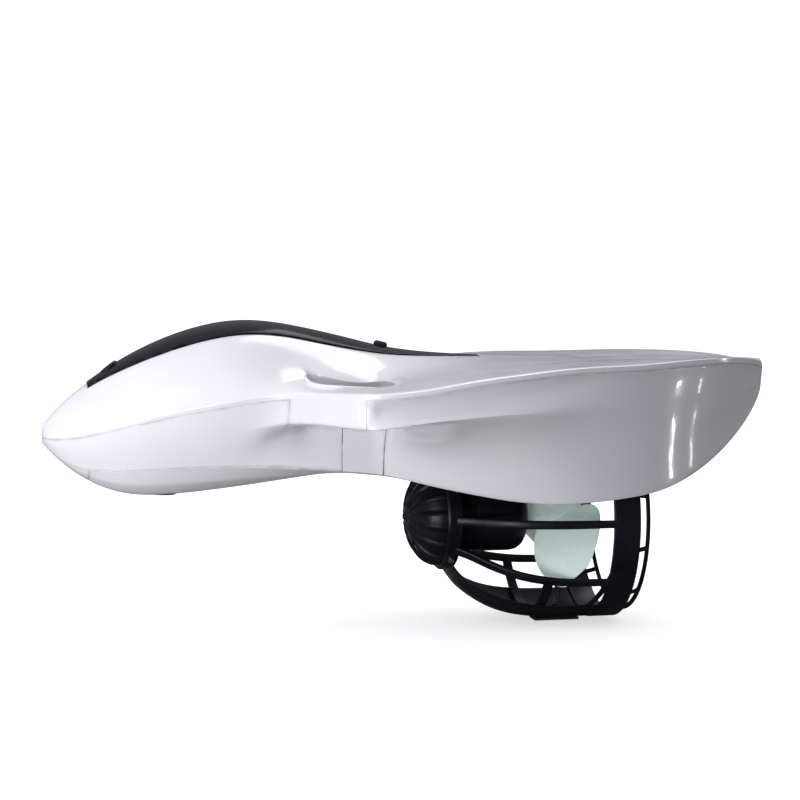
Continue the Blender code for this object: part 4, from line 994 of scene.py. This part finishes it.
def add_dome(ribs=18, per_rib=14):
    """A dome with thin radial ribs that run from its nose to the collar."""
    keys = [(0.0, -8.6), (5.0, -8.4), (9.0, -7.4), (16.0, -6.4), (25.0, -4.0), (34.0, 0.0), (41.0, 5.0)]
    keys += [(46.5, 11.0), (50.0, 18.0), (DOME_RADIUS, 24.0)]
    inner = [(47.5, 24.0), (42.5, 10.0), (34.0, 2.4), (22.0, -1.5), (0.0, -3.0)]
    segments = ribs * per_rib
    angles = 360 * np.arange(segments) / segments
    points = []
    for radius, x in smooth_path(keys, 5):
        grown = min(1.0, max(0.0, (radius - 8.0) / 10.0))
        for k, degrees in enumerate(angles):
            across = abs((k / per_rib) % 1.0 - 0.5) * 2 * math.pi * max(radius, 1.0) / ribs
            ridge = math.exp(-(across / 1.2) ** 4)
            raised = (2.6 * ridge - 1.4) * grown
            forward = 0.75 * raised * (1 - (radius / 60) ** 2)
            reach = max(0.0, radius + 0.8 * raised * radius / DOME_RADIUS)
            points.append(around_axis(x - forward, reach, degrees))
    for radius, x in inner:
        points.extend(around_axis(x, radius, degrees) for degrees in angles)
    faces = ring_faces(len(points) // segments, segments)
    nub = turned([(-10.4, 0), (-10.4, 2.4), (-9.8, 3.4), (-8.0, 3.8), (-7.0, 3.8), (-7.0, 0)], 32)
    shape = merged((points, faces), nub)
    add_piece("intake_dome_fine", *shape, "thruster_black", "hull", "intake_dome", sharp=50)


def strut(degrees, half_wide=4.4, half_high=2.6):
    """A bar that runs from the collar to the band in one plane through the thrust axis."""
    path = [around_axis(x, radius, degrees) for x, radius in smooth_path(STRUT_PATH, 10)]
    share = np.linspace(0, 1, len(path))
    widths = half_wide * (1.15 - 0.25 * share)
    return bar(path, outward(degrees + 90), widths, half_high * (1.2 - 0.25 * share))


def shield(across=40, thickness=2.6):
    """The curved plate below the propeller, with rounded long edges."""
    half = thickness / 2
    turns = [math.radians(turn) for turn in (45, 90, 135)]
    path = smooth_path(SKID_PATH, 8)
    points = []
    for x, radius in path:
        outer = [(SHIELD_SPREAD * (2 * k / across - 1), radius + half) for k in range(across + 1)]
        inner = [(degrees, radius - half) for degrees, _ in reversed(outer)]
        edge = [(SHIELD_SPREAD + math.degrees(half * math.sin(turn) / radius),
                 radius + half * math.cos(turn)) for turn in turns]
        rim = outer + edge + inner + [(-degrees, reach) for degrees, reach in reversed(edge)]
        points.extend(around_axis(x, reach, DOWN + degrees) for degrees, reach in rim)
    size = len(rim)
    last = size * (len(path) - 1)
    faces = ring_faces(len(path), size)
    under = 2 * across + 4  # the inner point that lies below outer point 0
    caps = [[k, k + 1, under - k - 1, under - k] for k in range(across)]
    caps += [[*range(across, across + 5)], [0, size - 1, size - 2, size - 3, under]]
    faces += [[start + k for k in cap] for start in (0, last) for cap in caps]
    return points, faces


def shield_rib(degrees):
    """A raised bead along the outside of the shield."""
    path = [around_axis(x, radius + 1.3, DOWN + degrees) for x, radius in smooth_path(SKID_PATH, 8)]
    return bar(path, outward(degrees), 1.5, 0.9, 12, 2.2)


def hoop_bridge(degrees):
    """A short bar from the ring band to the rear hoop."""
    stops = [around_axis(x, radius, degrees) for x, radius in ((206, 107), (213, 105.5), (221, 101.5))]
    return bar(smooth_path(stops, 5), outward(degrees + 90), 2.4, 1.4, 14)


def brace(side):
    """A slanting bar from the band down to the shield."""
    path, across = [], []
    for x, degrees in smooth_path([(193, -14), (185, -32), (175, -52), (160, -76)], 8):
        turn = degrees if side > 0 else 180 - degrees
        path.append(around_axis(x, 106.5, turn))
        across.append(np.cross(outward(turn), (0.85, 0, 0.5)))
    return bar(path, across, 2.6, 2.0)


def add_cage():
    """Collar, ring band with its lip, rear hoop, struts, the shield with its ribs, and braces."""
    collar = [(24.5, 47), (24.5, 54), (27, 56), (37, 56), (40, 53.5), (40, 47)]
    parts = [
        turned(collar, 144, 1.2),
        turned(box_outline(184, 211, 105.5, 109.5), 192, 1.0),
        turned(box_outline(219, 223, 99.5, 103.5), 192, 1.4),
        turned(box_outline(184, 187, 104, 106.5), 192, 0.6),
    ]
    parts += [hoop_bridge(360 * (k + 0.5) / HOOP_BRIDGES) for k in range(HOOP_BRIDGES)]
    parts += [strut(degrees) for degrees in STRUTS]
    parts += [shield(), shield_rib(-0.62 * SHIELD_SPREAD), shield_rib(0.62 * SHIELD_SPREAD)]
    parts.append(turned(box_outline(118, 127, 99.5, 105), 60, 1.0, start=DOWN - 53, end=DOWN + 53))
    parts += [brace(side) for side in SIDES]
    add_piece("guard_cage_fine", *merged(*parts), "thruster_black", "hull", "guard_cage", sharp=50)


def add_pod():
    """The motor housing, with a long bead and a small boss on each side."""
    radius = POD_RADIUS
    outline = [(41, radius - 1), (43, radius - 0.5), (46, radius), (58, radius), (60, radius - 0.7)]
    outline += [(62, radius), (100, radius), (107, radius - 1.2), (112.5, radius - 5)]
    outline += [(116, radius - 11), (118, radius - 19), (118.6, 14), (118.6, 11.5), (112, 11.5)]
    outline += [(112, 23), (106, 31.5), (100, radius - 3), (41, radius - 3)]
    parts = [revolved(filleted(outline, 0.9, 2), 128, (0, 0, AXIS_Z))]
    wide = np.r_[np.linspace(0.8, 3.4, 10), np.linspace(3.4, 3.0, 9)]
    high = np.r_[np.linspace(0.5, 1.9, 10), np.linspace(1.9, 1.2, 9)]
    boss = filleted([(0, 0.01), (0, 4.4), (3.6, 4.0), (3.6, 0.01)], 0.6, 3)
    for degrees in (0, 180):
        stops = [around_axis(x, radius - 0.2, degrees - 2) for x in (52, 70, 90, 104)]
        parts.append(bar(smooth_path(stops, 6), outward(degrees + 90), wide, high, 16, 2.2))
        base = around_axis(88, radius - 2.5, degrees + 8)
        parts.append(revolved(boss, 32, base, outward(degrees + 8)))
    add_piece("motor_housing_fine", *merged(*parts), "thruster_black", "hull", "motor_housing")


def blade(turn, rows=30, columns=34):
    """One blade: wide, swept back and strongly twisted, with rounded edges."""
    grid = np.zeros((rows, columns, 3))
    half = np.zeros((rows, columns))
    for r in range(rows):
        share = r / (rows - 1)
        radius = HUB_RADIUS + (PROP_RADIUS - HUB_RADIUS) * share
        tip = max(0.0, 1 - share ** 5) ** 0.5
        half_angle = 34 * (1 - 0.62 * share ** 2.2)
        half_axial = 22 + 10 * math.sin(math.pi * min(1, share * 0.9)) - 9 * share ** 3
        for c in range(columns):
            place = 2 * c / (columns - 1) - 1
            s = math.sin(math.pi / 2 * place) * (1 - 0.32 * (1 - tip))
            degrees = turn + s * half_angle + 24 * share ** 1.5
            grid[r, c] = around_axis(PROP_X - 3 - s * half_axial, radius, degrees)
            edge = max(0.0, 1 - place ** 2) ** 0.5
            half[r, c] = (2.6 - 1.5 * share) * (0.12 + 0.88 * edge) * (0.25 + 0.75 * tip)
    normal = unit(np.cross(np.gradient(grid, axis=0), np.gradient(grid, axis=1)))
    offset = half[:, :, None] * normal
    points = np.vstack([(grid + offset).reshape(-1, 3), (grid - offset).reshape(-1, 3)])
    number = np.arange(rows * columns).reshape(rows, columns)
    count = number.size
    quads = np.stack([number[:-1, :-1], number[:-1, 1:], number[1:, 1:], number[1:, :-1]], axis=-1)
    faces = []
    for quad in quads.reshape(-1, 4).tolist():
        faces += [quad, [k + count for k in reversed(quad)]]
    border = [*number[0], *number[1:, -1], *number[-1, -2::-1], *number[-2:0:-1, 0]]
    faces += [[b, a, a + count, b + count] for a, b in zip(border, border[1:] + border[:1])]
    return points, faces


def add_propeller():
    """The hub with its blades, and the nut behind it."""
    hub = [(121, 5.4), (121, 16), (124, 19), (130, 20.4), (150, 21), (170, 20.2), (176, 17.5)]
    hub += [(178, 14), (178, 5.4)]
    parts = [revolved(filleted(hub, 0.8, 3), 96, (0, 0, AXIS_Z))]
    parts += [blade(FIRST_BLADE + 360 / BLADES * k) for k in range(BLADES)]
    add_piece("propeller_fine", *merged(*parts), "propeller_mint", "propeller_group", "propeller",
              sharp=60)
    cone = [(178.4, 0), (178.4, 10), (182, 10.2), (186, 9.4), (190, 7.4), (193, 4.2), (194, 0)]
    add_piece("prop_nut_fine", *turned(cone, 64), "steel", "propeller_group", "prop_nut")


def prism(outline, x_start, x_end):
    """An outline of (y, z) drawn out along X."""
    points = [(x, y, z) for x in (x_start, x_end) for y, z in outline]
    count = len(outline)
    caps = [list(range(count)), list(reversed(range(count, 2 * count)))]
    return points, caps + ring_faces(2, count)


def add_foot(cells=9):
    """The rubber foot: ridges across it on a thin spine."""
    low, high = (np.array(corner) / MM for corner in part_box("skid_pad"))
    corners = [(low[1], low[2]), (high[1], low[2]), (high[1], high[2]), (low[1], high[2])]
    ridge = filleted(corners, 0.8, 3)
    pitch = (high[0] - low[0]) / cells
    parts = []
    for k in range(cells):
        x = low[0] + pitch * (k + 0.5)
        parts.append(prism(ridge, x - pitch * 0.42, x + pitch * 0.42))
    spine = [(-10, 0.7), (10, 0.7), (10, 2.2), (-10, 2.2)]
    parts.append(prism(spine, low[0] + 0.6, high[0] - 0.6))
    add_piece("skid_pad_fine", *merged(*parts), "rubber", "hull", "skid_pad", sharp=30)


# ---- CAD nodes that are kept -------------------------------------------------------------


def dress_nodes():
    """Gives each CAD node that is shown its material, and softens the edges of some of them."""
    for part in frame["record"]["subparts"]:
        node = frame["nodes"][part["node"]]
        if not node.hide_render:  # the others have a finer piece in their place
            node.data.materials.clear()
            node.data.materials.append(LOOKS[part["material_slot"]])
    for name, width in BEVELLED.items():
        soft = frame["nodes"][name].modifiers.new("soft_edges", "BEVEL")
        soft.width = width * MM
        soft.segments = 4
        soft.limit_method = "ANGLE"
        soft.angle_limit = math.radians(35)


# ---- studio ------------------------------------------------------------------------------


def add_node(tree, kind, *feeds, **inputs):
    """A node of a shader tree: feeds go to its first inputs, and inputs are set by name."""
    made = tree.nodes.new(kind)
    for k, output in enumerate(feeds):
        tree.links.new(output, made.inputs[k])
    for key, value in inputs.items():
        made.inputs[key.replace("_", " ")].default_value = value
    return made


def mix_for_camera(tree, lighting, seen, output):
    """Feeds the output with one shader for the camera and another for everything else."""
    path = tree.nodes.new("ShaderNodeLightPath")
    mix = add_node(tree, "ShaderNodeMixShader", path.outputs["Is Camera Ray"], lighting.outputs[0],
                   seen.outputs[0])
    tree.links.new(mix.outputs[0], output.inputs["Surface"])


def add_floor(half=14.0, cells=8):
    """A wide pale floor that glows where the camera sees it, and is dimmer for the lighting."""
    stops = [half * (2 * k / cells - 1) for k in range(cells + 1)]
    mesh = bpy.data.meshes.new("floor")
    row = cells + 1
    corners = [j * row + i for j in range(cells) for i in range(cells)]
    faces = [[k, k + 1, k + row + 1, k + row] for k in corners]
    mesh.from_pydata([(x, y, FLOOR_Z) for y in stops for x in stops], [], faces)
    material = bpy.data.materials.new("pale_floor")
    material.use_nodes = True
    tree = material.node_tree
    shader = tree.nodes["Principled BSDF"]
    noise = add_node(tree, "ShaderNodeTexNoise", Scale=3.0)
    tint = add_node(tree, "ShaderNodeMapRange", noise.outputs["Fac"], To_Min=0.80, To_Max=0.84)
    tree.links.new(tint.outputs["Result"], shader.inputs["Base Color"])
    shader.inputs["Roughness"].default_value = 0.9
    shader.inputs["Specular IOR Level"].default_value = 0.0
    glow = add_node(tree, "ShaderNodeEmission", Color=WHITE, Strength=FLOOR_GLOW)
    seen = add_node(tree, "ShaderNodeAddShader", shader.outputs[0], glow.outputs[0])
    bounce = add_node(tree, "ShaderNodeBsdfDiffuse", Color=(*[FLOOR_BOUNCE] * 3, 1.0))
    mix_for_camera(tree, bounce, seen, tree.nodes["Material Output"])
    mesh.materials.append(material)
    linked("floor", mesh)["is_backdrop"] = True


def add_world():
    """White where the camera sees it; for the lighting, dim at the horizon and bright overhead."""
    world = bpy.data.worlds.new("studio")
    bpy.context.scene.world = world
    world.use_nodes = True
    tree = world.node_tree
    tree.nodes.clear()
    place = tree.nodes.new("ShaderNodeTexCoord")
    split = add_node(tree, "ShaderNodeSeparateXYZ", place.outputs["Generated"])
    height = add_node(tree, "ShaderNodeMapRange", split.outputs["Z"], From_Min=-1.0)
    ramp = add_node(tree, "ShaderNodeValToRGB", height.outputs["Result"])
    elements = ramp.color_ramp.elements
    while len(elements) < len(SKY):
        elements.new(0.5)
    for element, (position, colour) in zip(elements, SKY):
        element.position = position
        element.color = (*colour, 1.0)
    side = add_node(tree, "ShaderNodeMapRange", split.outputs["X"], From_Min=-0.6, From_Max=0.9,
                    To_Min=1.0, To_Max=1 - SKY_SIDE)
    lit = add_node(tree, "ShaderNodeBackground", ramp.outputs["Color"], side.outputs["Result"])
    seen = add_node(tree, "ShaderNodeBackground", Color=WHITE, Strength=1.0)
    mix_for_camera(tree, lit, seen, tree.nodes.new("ShaderNodeOutputWorld"))


def aimed(obj, place, direction):
    """Puts a lamp or the camera at a place, facing along a direction."""
    obj.location = place
    obj.rotation_euler = direction.to_track_quat("-Z", "Y").to_euler()


def add_lamp(name, place, target, size, power, colour=(1, 1, 1), height=None):
    data = bpy.data.lights.new(name, "AREA")
    data.energy = power
    data.color = colour
    data.size = size
    if height:
        data.shape = "RECTANGLE"
        data.size_y = height
    lamp = linked(name, data)
    lamp.visible_camera = False
    aimed(lamp, place, Vector(target) - Vector(place))


def add_camera():
    """The camera, aimed at the object's middle from the photo's side."""
    azimuth, elevation = (math.radians(angle) for angle in VIEW)
    right = Vector((math.cos(azimuth), math.sin(azimuth), 0))
    ahead = Vector((-right.y, right.x, 0)) * math.cos(elevation) - Vector((0, 0, math.sin(elevation)))
    low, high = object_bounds()
    aim = right * AIM_SIDE + right.cross(ahead) * (high[2] - low[2]) * AIM_HEIGHT
    data = bpy.data.cameras.new("camera")
    data.lens = data.sensor_width * VIEW_DISTANCE / VIEW_WIDTH
    camera = linked("camera", data)
    aimed(camera, aim - ahead * VIEW_DISTANCE, ahead)
    bpy.context.scene.camera = camera


def main():
    shells = add_body()
    open_latch(shells["belly_pan"])
    add_socket()
    add_button(shells["top_cover"])
    add_dome()
    add_cage()
    add_pod()
    add_propeller()
    add_foot()
    dress_nodes()
    add_floor()
    add_world()
    for lamp in LAMPS:
        add_lamp(*lamp)
    add_camera()
    bpy.context.scene.view_settings.view_transform = "Standard"


main()
